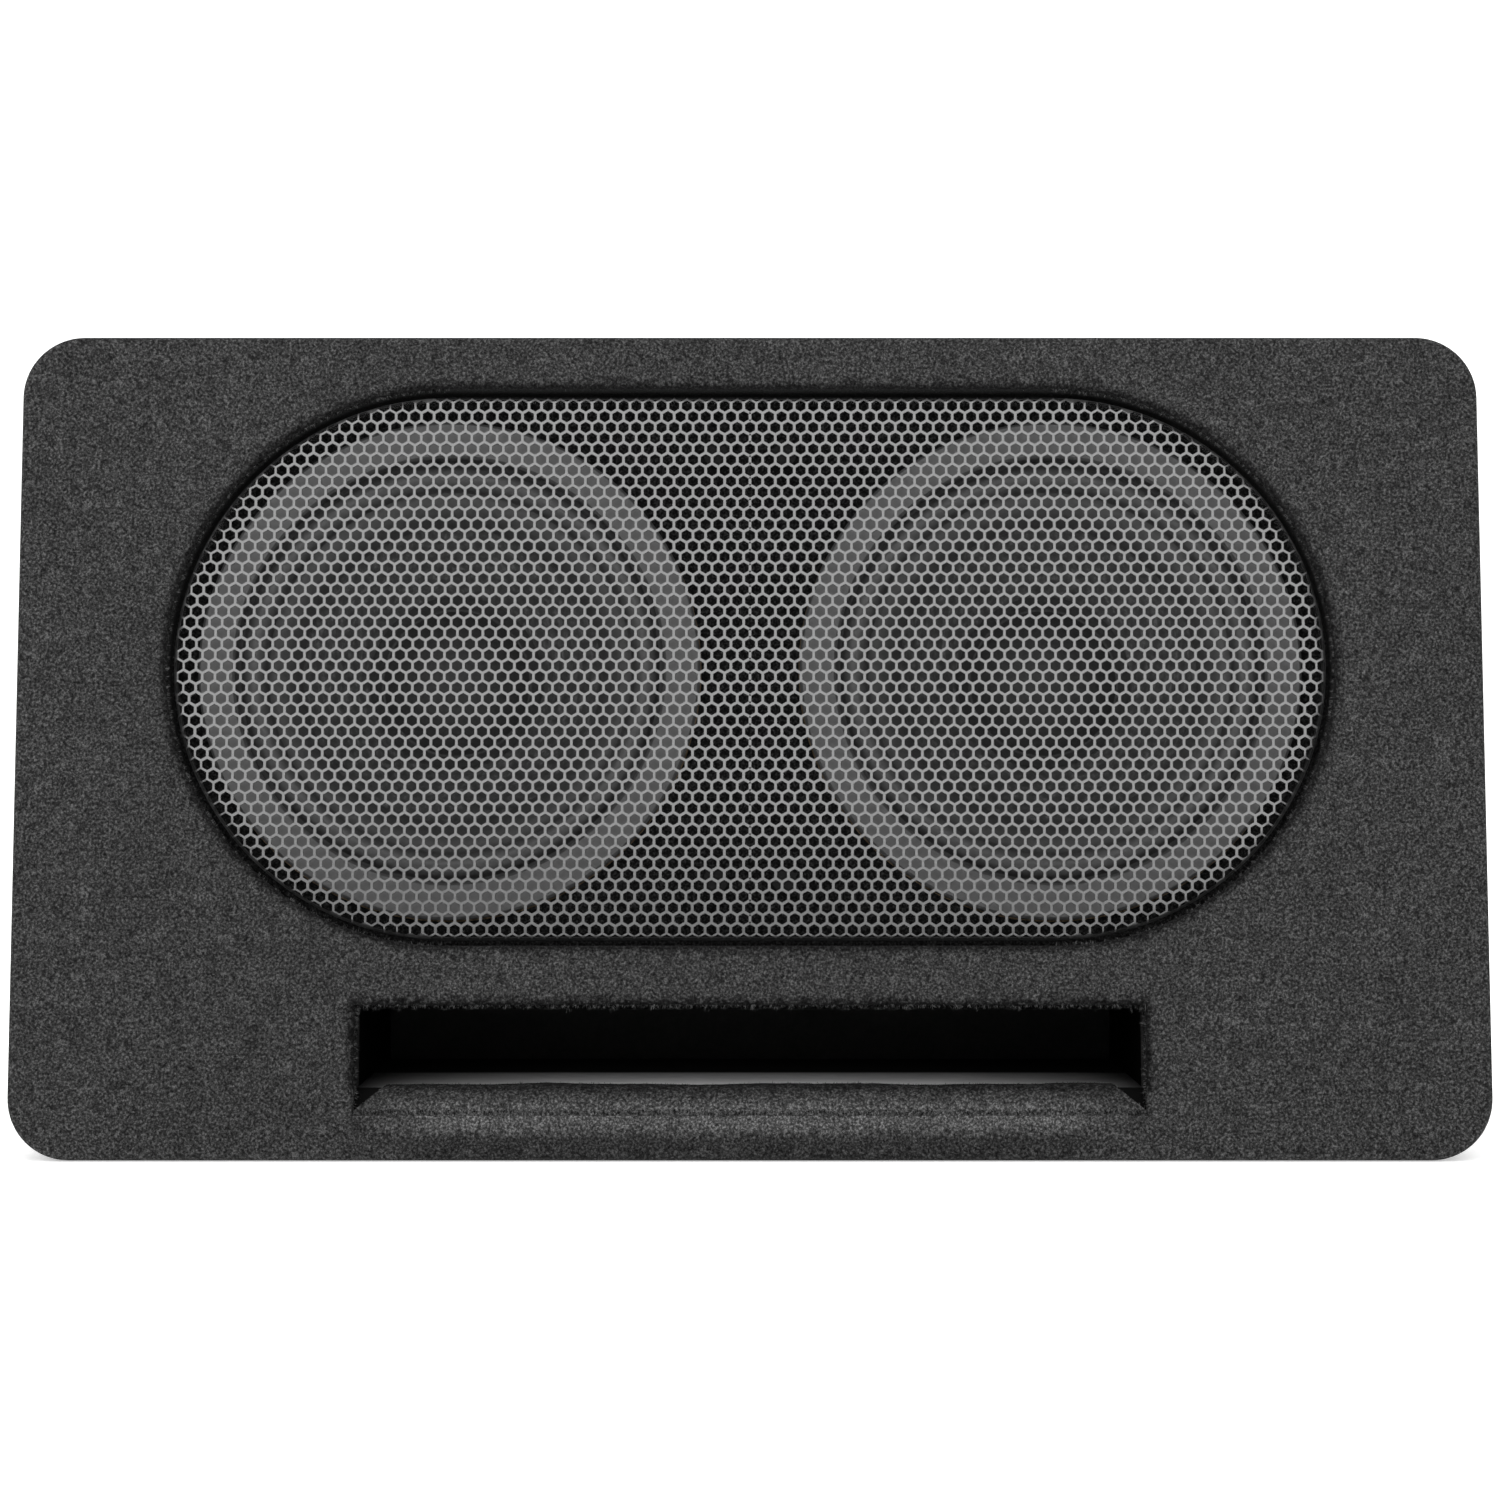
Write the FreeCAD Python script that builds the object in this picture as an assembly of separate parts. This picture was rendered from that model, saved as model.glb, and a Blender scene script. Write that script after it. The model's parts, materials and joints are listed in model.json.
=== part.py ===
import FreeCAD, Part
import math
import os
from FreeCAD import Placement, Rotation, Vector

# Powered twin-driver subwoofer for a car: a carpeted ported box whose front leans back,
# two 8-inch drivers behind one perforated grille, a slot port under them and an
# amplifier plate set into the back. Millimetres. X runs left to right seen from the
# front, the front faces -Y, Z is up, and the origin is at the middle of the footprint.

os.makedirs("parts", exist_ok=True)

# ---- box ----
BOX_WIDTH = 600.0
BOX_HEIGHT = 336.0
LEAN_DEG = 7.0                 # front leans back from the vertical
FRONT_Y = -131.0               # carpet face at floor level
REAR_Y = 119.0                 # carpet face of the back
HARDWARE_Y = 131.0             # rearmost point of fins, sockets and knobs
OUTLINE_R = 25.0               # rounding of the four front-to-back edges
CARPET = 3.0
PANEL = 15.0
BAFFLE = 18.0
EDGE_SOFT = 2.4                # roll of the carpet at outer rims and round openings
LINING = 2.2                   # carpet turned in along the recess and mouth walls

# ---- recess, grille ----
DRIVER_X = 124.0               # half the driver spacing
DRIVER_UP = 202.0              # driver centres, up the leaning face
RECESS_R = 115.0
GRILLE_R = 112.2
GRILLE_DEPTH = 4.0             # grille front behind the carpet face
GRILLE_SHEET = 1.0
GRILLE_RIM = 8.0
RECESS_CARPET = 2.0
PEG_X = 14.0
PEG_UP = 88.0
PEG_R = 3.0
CUP_R = 5.5

# ---- port ----
MOUTH_HALF = 160.0
MOUTH_TOP = 62.0
PORT_CEILING = 59.5
FLOOR_BOARD = 10.0
LIP_SKIN = 2.6
LIP_TAPER = 13.0               # relief cut of the lip carpet at each end
PORT_END_GAP = 65.0            # free space between duct end and back panel

# ---- driver (radii; depths are behind the carpet face) ----
BOARD_FACE = CARPET + BAFFLE
CUTOUT_R = 94.0
FLANGE_R = 103.0
FLANGE_FACE = 19.0
RING_R = 103.5
RING_INNER_R = 88.5
RING_FACE = 13.0
RING_CHAMFER = 1.0
SEAT_R = 92.0
SEAT_DEPTH = 22.0
ROLL_MID_R = 80.9
ROLL_R = 5.6
ROLL_SKIN = 1.0
ROLL_DEPTH = 21.2
RIM_R = 75.6
SCREW_RING_R = 98.5
SCREWS_PER_DRIVER = 8
SCREW_R = 1.9
SCREW_HEAD_R = 3.4
SCREW_LENGTH = 17.0
FORMER_R = 25.4
FORMER_SKIN = 0.4
FORMER_TOP = 58.0
FORMER_END = 95.0
WINDING_R = 26.1
WINDING_TOP = 75.0
WINDING_END = 91.0
POLE_R = 24.6
POLE_VENT_R = 5.0
GAP_R = 26.6
PLATE_R = 50.0
PLATE_TOP = 80.0
PLATE_THICK = 6.0
MAGNET_R = 54.0
MAGNET_HOLE_R = 31.0
MAGNET_THICK = 22.0
CONE_SKIN = 1.2
CAP_RIM_R = 36.5
CAP_R = 31.0
CAP_HEIGHT = 13.0
CAP_SKIN = 0.8
SPIDER_DEPTH = 72.0
SPIDER_R = 62.0
SPIDER_WAVES = 6
SPIDER_SKIN = 0.7
WINDOWS = 6
WINDOW_WIDTH = 48.0

# ---- amplifier plate on the back ----
AMP_HALF_X = 150.0
AMP_Z = 190.0
AMP_HALF_Z = 75.0
AMP_SHEET = 3.0
AMP_GASKET = 1.5
AMP_LEDGE = 13.0               # plate margin that rests on the back panel
FIN_COUNT = 23
FIN_PITCH = 11.0
FIN_THICK = 2.4
FIN_LOW = 204.0
FIN_HIGH = 252.0
CONTROL_Z = 150.0
PCB_GAP = 35.0                 # board face in front of the back carpet face
PCB_THICK = 1.6
KNOB_R = 6.0
KNOB_GAP = 0.5
KNOB_XS = (64.0, 85.0, 106.0)
SHAFT_R = 3.0
SHAFT_HOLE_R = 3.4
POT_BORE_R = 3.05
POT_SIZE = 15.0
SWITCH_X = 128.0
SWITCH_TRAVEL = 3.6
TAB = 3.0
RCA_XS = (-22.0, 0.0)
RCA_R = 4.15
RCA_BORE_R = 1.6
RCA_BORE_LENGTH = 8.0
REMOTE_X = 30.0
TERMINAL_X = -106.0
TERMINAL_PITCH = 17.0
TERMINAL_HALF = 1.5 * TERMINAL_PITCH
TERMINAL_GAP = 0.2             # between neighbouring one-way terminals
TERMINAL_BORE_R = 3.2
FUSE_XS = (-66.0, -50.0)
LED_X = 46.0

LEAN = math.radians(LEAN_DEG)
FACE = Placement(Vector(0, FRONT_Y, 0), Rotation(Vector(1, 0, 0), 90 - LEAN_DEG))
PLATE_FACE = REAR_Y + AMP_SHEET - AMP_GASKET
PCB_FACE = REAR_Y - PCB_GAP


# ---------------------------------------------------------------- helpers
def box(x0, x1, y0, y1, z0, z1):
    """Box between two corners."""
    return Part.makeBox(x1 - x0, y1 - y0, z1 - z0, Vector(x0, y0, z0))


def rod_y(x, z, y0, y1, radius):
    """Round bar along Y."""
    return Part.makeCylinder(radius, y1 - y0, Vector(x, y0, z), Vector(0, 1, 0))


def join(shapes):
    """One solid from shapes that share volume."""
    whole = shapes[0]
    for other in shapes[1:]:
        whole = whole.fuse(other)
    return whole.removeSplitter()


def group(shapes):
    """Separate solids kept side by side in one node."""
    return Part.makeCompound(shapes)


def on_face(shape, x=0.0, up=0.0):
    """Place a shape drawn with +Z out of the leaning front, X right and Y up the face."""
    placed = shape.copy()
    placed.translate(Vector(x, up, 0))
    placed.Placement = FACE.multiply(placed.Placement)
    return placed


def revolve(points):
    """Full turn about Z of a section of (radius, depth behind the face) points."""
    corners = [Vector(r, 0, -d) for r, d in points]
    wire = Part.makePolygon(corners + corners[:1])
    return Part.Face(wire).revolve(Vector(0, 0, 0), Vector(0, 0, 1), 360)


def slab(near, far, half=320.0, up=380.0):
    """Layer parallel to the front between two depths behind the carpet face."""
    layer = Part.makeBox(2 * half, up + 60, far - near, Vector(-half, -60, -far))
    return on_face(layer)


def stadium(radius, near, far):
    """Long round-ended block centred on the drivers, sunk square to the front."""
    a = Vector(-DRIVER_X, DRIVER_UP - radius, -far)
    b = Vector(DRIVER_X, DRIVER_UP - radius, -far)
    c = Vector(DRIVER_X, DRIVER_UP + radius, -far)
    d = Vector(-DRIVER_X, DRIVER_UP + radius, -far)
    right = Part.Arc(b, Vector(DRIVER_X + radius, DRIVER_UP, -far), c)
    left = Part.Arc(d, Vector(-DRIVER_X - radius, DRIVER_UP, -far), a)
    edges = [Part.makeLine(a, b), right.toShape(), Part.makeLine(c, d), left.toShape()]
    block = Part.Face(Part.Wire(edges)).extrude(Vector(0, 0, far - near))
    return on_face(block)


def outline_block(inset):
    """Rounded-rectangle front outline run straight from front to back."""
    half = BOX_WIDTH / 2 - inset
    low = inset
    high = BOX_HEIGHT - inset
    radius = OUTLINE_R - inset
    block = box(-half, half, -200, 200, low, high)
    runs = [e for e in block.Edges if abs(e.tangentAt(e.FirstParameter).y) > 0.9]
    return block.makeFillet(radius, runs)


def wedge(front, rear):
    """Everything between a depth behind the leaning front and one before the back."""
    lean = math.tan(LEAN)
    start = FRONT_Y + front / math.cos(LEAN)
    low, high = -20.0, BOX_HEIGHT + 20
    points = [
        Vector(-400, start + low * lean, low),
        Vector(-400, REAR_Y - rear, low),
        Vector(-400, REAR_Y - rear, high),
        Vector(-400, start + high * lean, high),
    ]
    return Part.Face(Part.makePolygon(points + points[:1])).extrude(Vector(800, 0, 0))


def driver_ring(x, radius, near, far):
    """Disc square to the front at one driver."""
    disc = Part.makeCylinder(radius, far - near, Vector(0, 0, -far))
    return on_face(disc, x, DRIVER_UP)


def screw_spots():
    """Places of the driver screws round one driver."""
    step = 2 * math.pi / SCREWS_PER_DRIVER
    angles = [step * (k + 0.5) for k in range(SCREWS_PER_DRIVER)]
    return [(SCREW_RING_R * math.cos(a), SCREW_RING_R * math.sin(a)) for a in angles]


def peg_spots():
    """Places of the grille pegs, between the two drivers."""
    return [(sx * PEG_X, DRIVER_UP + sy * PEG_UP) for sx in (-1, 1) for sy in (-1, 1)]


# ---------------------------------------------------------------- wooden box
def bottom_panel():
    return outline_block(CARPET).common(wedge(CARPET, CARPET)).common(
        box(-400, 400, -300, 300, CARPET, CARPET + PANEL))


def top_panel():
    top = BOX_HEIGHT - CARPET
    return outline_block(CARPET).common(wedge(CARPET, CARPET)).common(
        box(-400, 400, -300, 300, top - PANEL, top))


def side_panel(side):
    outer = BOX_WIDTH / 2 - CARPET
    low = CARPET + PANEL
    board = box(outer - PANEL, outer, -300, 300, low, BOX_HEIGHT - low)
    if side < 0:
        board = box(-outer, PANEL - outer, -300, 300, low, BOX_HEIGHT - low)
    return board.common(outline_block(CARPET)).common(wedge(BOARD_FACE, CARPET))


def rear_panel():
    half = BOX_WIDTH / 2 - CARPET - PANEL
    low = CARPET + PANEL
    face = REAR_Y - CARPET
    board = box(-half, half, face - PANEL, face, low, BOX_HEIGHT - low)
    hole_x = AMP_HALF_X - AMP_LEDGE
    hole_z = AMP_HALF_Z - AMP_LEDGE
    hole = box(-hole_x, hole_x, face - PANEL - 1, face + 1, AMP_Z - hole_z, AMP_Z + hole_z)
    board = board.cut(hole)
    for x, z in amp_screw_spots():
        board = board.cut(rod_y(x, z, face - 11, face + 1, SCREW_R))
    return board


def front_baffle():
    low = CARPET + PANEL
    board = outline_block(CARPET).common(slab(CARPET, BOARD_FACE))
    board = board.common(box(-400, 400, -300, 300, low, BOX_HEIGHT - low))
    board = board.cut(stadium(RECESS_R + LINING, 0, BOARD_FACE + 5))
    return board.cut(mouth_block(LINING))


def mouth_block(margin):
    """The port mouth, square through the front, with a margin at its sides and top."""
    half = MOUTH_HALF + margin
    return box(-half, half, -300, 0, CARPET + PANEL, MOUTH_TOP + margin)


def driver_board():
    half = BOX_WIDTH / 2 - CARPET - PANEL
    low = PORT_CEILING + PANEL
    high = BOX_HEIGHT - CARPET - PANEL
    board = slab(BOARD_FACE, BOARD_FACE + BAFFLE)
    board = board.common(box(-half, half, -300, 300, low, high))
    for x in (-DRIVER_X, DRIVER_X):
        board = board.cut(driver_ring(x, CUTOUT_R, BOARD_FACE - 2, BOARD_FACE + BAFFLE + 2))
        for dx, dy in screw_spots():
            end = FLANGE_FACE + SCREW_LENGTH
            hole = Part.makeCylinder(SCREW_R, end, Vector(dx, dy, -end))
            board = board.cut(on_face(hole, x, DRIVER_UP))
    for x, up in peg_spots():
        socket = Part.makeCylinder(CUP_R, 10, Vector(0, 0, -BOARD_FACE - 10))
        board = board.cut(on_face(socket, x, up))
    return board


def port_board(x0, x1, z0, z1):
    """A duct board from the baffle's back to the duct's open end."""
    run = wedge(BOARD_FACE, CARPET + PANEL + PORT_END_GAP)
    return box(x0, x1, -300, 300, z0, z1).common(run)


def port_shelf():
    half = MOUTH_HALF + PANEL
    return port_board(-half, half, PORT_CEILING, PORT_CEILING + PANEL)


def port_cheek(side):
    inner, outer = sorted((side * MOUTH_HALF, side * (MOUTH_HALF + PANEL)))
    return port_board(inner, outer, CARPET + PANEL, PORT_CEILING)


def lip_centre():
    """Y and Z of the axis that the port lip is rounded about."""
    low = CARPET + PANEL
    plane = FRONT_Y + low * math.tan(LEAN) + CARPET / math.cos(LEAN)
    return plane + FLOOR_BOARD / math.cos(LEAN), low


def port_floor():
    yc, low = lip_centre()
    end = REAR_Y - CARPET - PANEL - PORT_END_GAP
    nose = Part.makeCylinder(
        FLOOR_BOARD, 2 * MOUTH_HALF, Vector(-MOUTH_HALF, yc, low), Vector(1, 0, 0))
    nose = nose.common(box(-400, 400, yc - 50, yc + 1, low, low + 50))
    flat = box(-MOUTH_HALF, MOUTH_HALF, yc, end, low, low + FLOOR_BOARD)
    return join([nose, flat])


# ---------------------------------------------------------------- carpet
def carpet_wrap():
    half = BOX_WIDTH / 2 - OUTLINE_R
    tube = outline_block(0).cut(outline_block(CARPET)).common(wedge(CARPET, CARPET))
    return tube.cut(box(-half, half, -300, 300, -1, CARPET + 1))


def carpet_base():
    half = BOX_WIDTH / 2 - OUTLINE_R
    return box(-half, half, -300, 300, 0, CARPET).common(wedge(CARPET, CARPET))


def carpet_front():
    """Front sheet, turned in along the walls of the recess and of the port mouth."""
    sheet = outline_block(0).common(slab(0, CARPET))
    turn_in = stadium(RECESS_R + LINING, CARPET / 2, BOARD_FACE)
    mouth_turn_in = mouth_block(LINING).common(slab(CARPET / 2, BOARD_FACE))
    sheet = join([sheet, turn_in, mouth_turn_in])
    sheet = sheet.cut(stadium(RECESS_R, -5, BOARD_FACE + 1)).cut(mouth_block(0))
    return sheet.makeFillet(EDGE_SOFT, [e for e in sheet.Edges if on_front_rim(e)])


def on_front_rim(edge):
    """True for an edge in the carpet's front face, apart from the one the lip runs on from."""
    out = FACE.Rotation.multVec(Vector(0, 0, 1))
    ends = [v.Point for v in edge.Vertexes] + [edge.valueAt(edge.FirstParameter)]
    if all(abs(p.z - CARPET - PANEL) < 0.01 for p in ends):
        return False
    return all(abs((p - FACE.Base).dot(out)) < 0.01 for p in ends)


def carpet_rear():
    sheet = outline_block(0).common(
        box(-400, 400, REAR_Y - CARPET, REAR_Y, -1, BOX_HEIGHT + 1))
    sheet = sheet.makeFillet(EDGE_SOFT, [e for e in sheet.Edges if e.BoundBox.YMin > REAR_Y - 1])
    return sheet.cut(box(
        -AMP_HALF_X - 0.5, AMP_HALF_X + 0.5, REAR_Y - 10, REAR_Y + 10,
        AMP_Z - AMP_HALF_Z - 0.5, AMP_Z + AMP_HALF_Z + 0.5))


def carpet_recess():
    sheet = stadium(RECESS_R, BOARD_FACE - RECESS_CARPET, BOARD_FACE)
    for x in (-DRIVER_X, DRIVER_X):
        sheet = sheet.cut(driver_ring(x, RING_R + 0.5, 0, BOARD_FACE + 1))
    for x, up in peg_spots():
        hole = Part.makeCylinder(CUP_R, 40, Vector(0, 0, -BOARD_FACE - 10))
        sheet = sheet.cut(on_face(hole, x, up))
    return sheet


def carpet_lip():
    yc, low = lip_centre()
    start = Vector(-MOUTH_HALF, yc, low)
    along = Vector(1, 0, 0)
    outer = Part.makeCylinder(FLOOR_BOARD + LIP_SKIN, 2 * MOUTH_HALF, start, along)
    inner = Part.makeCylinder(FLOOR_BOARD, 2 * MOUTH_HALF, start, along)
    sheet = outer.cut(inner).common(box(-400, 400, yc - 50, yc, low, low + 50))
    rise = FLOOR_BOARD + LIP_SKIN + 1
    for side in (-1, 1):
        corners = [
            Vector(side * MOUTH_HALF, yc - 40, low + 2),
            Vector(side * (MOUTH_HALF - LIP_TAPER), yc - 40, low + rise),
            Vector(side * (MOUTH_HALF + 5), yc - 40, low + rise),
            Vector(side * (MOUTH_HALF + 5), yc - 40, low + 2),
        ]
        relief = Part.Face(Part.makePolygon(corners + corners[:1]))
        sheet = sheet.cut(relief.extrude(Vector(0, 80, 0)))
    return sheet


def damping_pad():
    half = BOX_WIDTH / 2 - CARPET - PANEL - 8
    top = BOX_HEIGHT - CARPET - PANEL
    run = wedge(BOARD_FACE + BAFFLE + 4, CARPET + PANEL + 4)
    return box(-half, half, -300, 300, top - 18, top).common(run)


# ---------------------------------------------------------------- grille
def grille():
    end = GRILLE_DEPTH + GRILLE_RIM
    shell = stadium(GRILLE_R, GRILLE_DEPTH, end)
    return shell.cut(stadium(GRILLE_R - GRILLE_SHEET, GRILLE_DEPTH + GRILLE_SHEET, end + 1))


def grille_pegs():
    near = GRILLE_DEPTH + GRILLE_SHEET
    pegs = []
    for x, up in peg_spots():
        stem = Part.makeCylinder(PEG_R, 24.5 - near, Vector(0, 0, -24.5))
        disc = Part.makeCylinder(5.0, 1.5, Vector(0, 0, -near - 1.5))
        pegs.append(on_face(join([stem, disc]), x, up))
    return group(pegs)


def grille_cups():
    cups = []
    for x, up in peg_spots():
        cup = Part.makeCylinder(CUP_R, 12, Vector(0, 0, -BOARD_FACE - 10))
        bore = Part.makeCylinder(PEG_R, 12, Vector(0, 0, -BOARD_FACE - 6))
        cups.append(on_face(cup.cut(bore), x, up))
    return group(cups)


# ---------------------------------------------------------------- drivers
def basket_section():
    """Half section of the pressed steel basket, 2 mm thick at the flange."""
    inner = [
        (FLANGE_R, FLANGE_FACE), (SEAT_R, FLANGE_FACE), (SEAT_R, SEAT_DEPTH),
        (85.5, SEAT_DEPTH), (84.5, 26), (63, 68), (63, 73), (57, 73), (55, 78), (40, 78)]
    outer = [
        (40, PLATE_TOP), (56.5, PLATE_TOP), (58.3, 75), (64.8, 75), (64.8, 68.6),
        (86.2, 26.6), (86.9, 23.8), (93.6, 23.8), (93.6, BOARD_FACE), (FLANGE_R, BOARD_FACE)]
    return inner + outer


def basket(x):
    shell = revolve(basket_section())
    for k in range(WINDOWS):
        window = Part.makeBox(50, WINDOW_WIDTH, 32, Vector(50, -WINDOW_WIDTH / 2, -62))
        window.rotate(Vector(0, 0, 0), Vector(0, 0, 1), 360.0 * k / WINDOWS)
        shell = shell.cut(window)
    for dx, dy in screw_spots():
        shell = shell.cut(screw_shape(dx, dy))
    return on_face(shell, x, DRIVER_UP)


def screw_shape(dx, dy):
    """Countersunk screw, its head flush with the basket flange."""
    sink = SCREW_HEAD_R - SCREW_R
    top = Vector(dx, dy, -FLANGE_FACE - sink)
    head = Part.makeCone(SCREW_R, SCREW_HEAD_R, sink, top)
    shank = Part.makeCylinder(
        SCREW_R, SCREW_LENGTH - sink, Vector(dx, dy, -FLANGE_FACE - SCREW_LENGTH))
    return join([head, shank])


def driver_screws():
    screws = []
    for x in (-DRIVER_X, DRIVER_X):
        for dx, dy in screw_spots():
            screws.append(on_face(screw_shape(dx, dy), x, DRIVER_UP))
    return group(screws)


def surround(x):
    """Rubber half roll, its outer foot under the trim ring, its inner one down the cone."""
    mid, depth = ROLL_MID_R, ROLL_DEPTH

    def arc_edge(radius):
        return Part.Arc(
            Vector(mid - radius, 0, -depth), Vector(mid, 0, radius - depth),
            Vector(mid + radius, 0, -depth)).toShape()

    small = ROLL_R - ROLL_SKIN
    roll = Part.Face(Part.Wire([
        arc_edge(ROLL_R),
        Part.makeLine(Vector(mid + ROLL_R, 0, -depth), Vector(mid + small, 0, -depth)),
        arc_edge(small),
        Part.makeLine(Vector(mid - small, 0, -depth), Vector(mid - ROLL_R, 0, -depth))]))
    roll = roll.revolve(Vector(0, 0, 0), Vector(0, 0, 1), 360)
    outer = revolve([
        (mid + small, SEAT_DEPTH - 1.5), (SEAT_R, SEAT_DEPTH - 1.5),
        (SEAT_R, SEAT_DEPTH), (mid + small, SEAT_DEPTH)])
    band = [(mid - small, SEAT_DEPTH), (72.6, SEAT_DEPTH), (62, 31)]
    inner = revolve(band + [(r, d - ROLL_SKIN) for r, d in reversed(band)])
    return on_face(join([roll, outer, inner]), x, DRIVER_UP)


def trim_ring(x):
    foot = SEAT_DEPTH - 1.5
    section = [
        (SEAT_R, FLANGE_FACE), (RING_R, FLANGE_FACE),
        (RING_R, RING_FACE + RING_CHAMFER), (RING_R - RING_CHAMFER, RING_FACE),
        (RING_INNER_R + RING_CHAMFER, RING_FACE), (RING_INNER_R, RING_FACE + RING_CHAMFER),
        (RING_INNER_R, foot), (SEAT_R, foot)]
    return on_face(revolve(section), x, DRIVER_UP)


def cone(x):
    """Paper cone, gently flared, from the surround's foot down to the coil former."""
    top = [(RIM_R, SEAT_DEPTH), (72.6, SEAT_DEPTH), (62, 31), (50, 41.5), (38, 52), (FORMER_R, 62)]
    under = [(r, d + CONE_SKIN) for r, d in top]
    under[-1] = (FORMER_R, 64)
    return on_face(revolve(top + under[::-1]), x, DRIVER_UP)


def cone_depth(radius):
    """Depth of the cone's front surface at a radius on its inner run."""
    return 52 + (38 - radius) * 10 / (38 - FORMER_R)


def dust_cap(x):
    """Shallow dome with a flat rim glued to the cone."""
    rim = cone_depth(CAP_R)
    edge = cone_depth(CAP_RIM_R)
    rise = CAP_HEIGHT
    ball = (CAP_R ** 2 + rise ** 2) / (2 * rise)
    top = rim - 1.2 - rise
    outer = Part.makeSphere(ball, Vector(0, 0, -top - ball))
    inner = Part.makeSphere(ball - CAP_SKIN, Vector(0, 0, -top - ball))
    keep = Part.makeCylinder(CAP_R + 2, 60, Vector(0, 0, -rim + 1.2))
    dome = outer.cut(inner).common(keep)
    foot = revolve([
        (CAP_R - 1.6, rim - 1.3), (CAP_R + 0.6, rim - 1.5), (CAP_RIM_R, edge - 0.8),
        (CAP_RIM_R, edge), (CAP_R, rim), (CAP_R - 1.6, cone_depth(CAP_R - 1.6))])
    return on_face(join([dome, foot]), x, DRIVER_UP)


def voice_coil(x):
    former = revolve([
        (FORMER_R - FORMER_SKIN, FORMER_TOP), (FORMER_R, FORMER_TOP),
        (FORMER_R, WINDING_TOP), (WINDING_R, WINDING_TOP),
        (WINDING_R, WINDING_END), (FORMER_R, WINDING_END),
        (FORMER_R, FORMER_END), (FORMER_R - FORMER_SKIN, FORMER_END)])
    return on_face(former, x, DRIVER_UP)


def spider(x):
    """Corrugated cloth ring that centres the coil, glued to the basket ledge."""
    start, end = FORMER_R, SPIDER_R
    steps = 2 * SPIDER_WAVES
    top = [(start, SPIDER_DEPTH)]
    for k in range(1, steps):
        radius = start + 4 + (end - 6 - start - 4) * k / steps
        top.append((radius, SPIDER_DEPTH - (1.6 if k % 2 else -0.2)))
    top += [(end - 4, 73 - SPIDER_SKIN), (end, 73 - SPIDER_SKIN)]
    under = [(r, d + SPIDER_SKIN) for r, d in top]
    return on_face(revolve(top + under[::-1]), x, DRIVER_UP)


def top_plate(x):
    end = PLATE_TOP + PLATE_THICK
    section = [(GAP_R, PLATE_TOP), (PLATE_R, PLATE_TOP), (PLATE_R, end), (GAP_R, end)]
    return on_face(revolve(section), x, DRIVER_UP)


def magnet(x):
    near = PLATE_TOP + PLATE_THICK
    far = near + MAGNET_THICK
    section = [
        (MAGNET_HOLE_R, near), (MAGNET_R - 1, near), (MAGNET_R, near + 1),
        (MAGNET_R, far - 1), (MAGNET_R - 1, far), (MAGNET_HOLE_R, far)]
    return on_face(revolve(section), x, DRIVER_UP)


def yoke(x):
    near = PLATE_TOP + PLATE_THICK + MAGNET_THICK
    far = near + PLATE_THICK
    section = [
        (POLE_VENT_R, PLATE_TOP), (POLE_R, PLATE_TOP), (POLE_R, near), (PLATE_R, near),
        (PLATE_R, far - 1.5), (PLATE_R - 1.5, far), (POLE_VENT_R, far)]
    return on_face(revolve(section), x, DRIVER_UP)


def driver_terminals():
    blocks = []
    for x in (-DRIVER_X, DRIVER_X):
        block = Part.makeBox(22, 7, 5, Vector(-11, 63.5, -74))
        tabs = [Part.makeBox(4.8, 8, 0.8, Vector(dx, 70, -71.9)) for dx in (-9, 4.2)]
        whole = join([block] + tabs)
        blocks.append(on_face(whole.cut(revolve(basket_section())), x, DRIVER_UP))
    return group(blocks)


# ---------------------------------------------------------------- amplifier
def amp_screw_spots():
    """Ten screws round the amplifier plate."""
    inset = 6.0
    xs = [-144.0, -72.0, 0.0, 72.0, 144.0]
    return [(x, AMP_Z + s * (AMP_HALF_Z - inset)) for x in xs for s in (-1, 1)]


def amp_plate():
    face = PLATE_FACE
    plate = box(-AMP_HALF_X, AMP_HALF_X, face - AMP_SHEET, face,
                AMP_Z - AMP_HALF_Z, AMP_Z + AMP_HALF_Z)
    corners = [e for e in plate.Edges if abs(e.tangentAt(e.FirstParameter).y) > 0.9]
    plate = plate.makeFillet(6, corners)
    fins = [plate]
    for k in range(FIN_COUNT):
        mid = (k - (FIN_COUNT - 1) / 2) * FIN_PITCH
        fins.append(box(mid - FIN_THICK / 2, mid + FIN_THICK / 2, face - 1, HARDWARE_Y,
                        FIN_LOW, FIN_HIGH))
    plate = join(fins)
    low, high = face - AMP_SHEET - 1, face + 1
    cuts = [rod_y(x, z, low, high, SCREW_R) for x, z in amp_screw_spots()]
    cuts += [rod_y(x, CONTROL_Z, low, high, SHAFT_HOLE_R) for x in KNOB_XS]
    cuts += [rod_y(x, CONTROL_Z, low, high, RCA_R) for x in RCA_XS]
    cuts.append(rod_y(LED_X, CONTROL_Z, low, high, 1.5))
    cuts.append(box(SWITCH_X - 4, SWITCH_X + 4, low, high, CONTROL_Z - 2.2, CONTROL_Z + 2.2))
    cuts.append(box(REMOTE_X - 7, REMOTE_X + 7, low, high, CONTROL_Z - 5.5, CONTROL_Z + 5.5))
    cuts.append(box(TERMINAL_X - TERMINAL_HALF, TERMINAL_X + TERMINAL_HALF, low, high,
                    CONTROL_Z - 9, CONTROL_Z + 9))
    cuts += [box(x - 3, x + 3, low, high, CONTROL_Z - 10, CONTROL_Z + 10) for x in FUSE_XS]
    return plate.cut(group(cuts))


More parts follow.
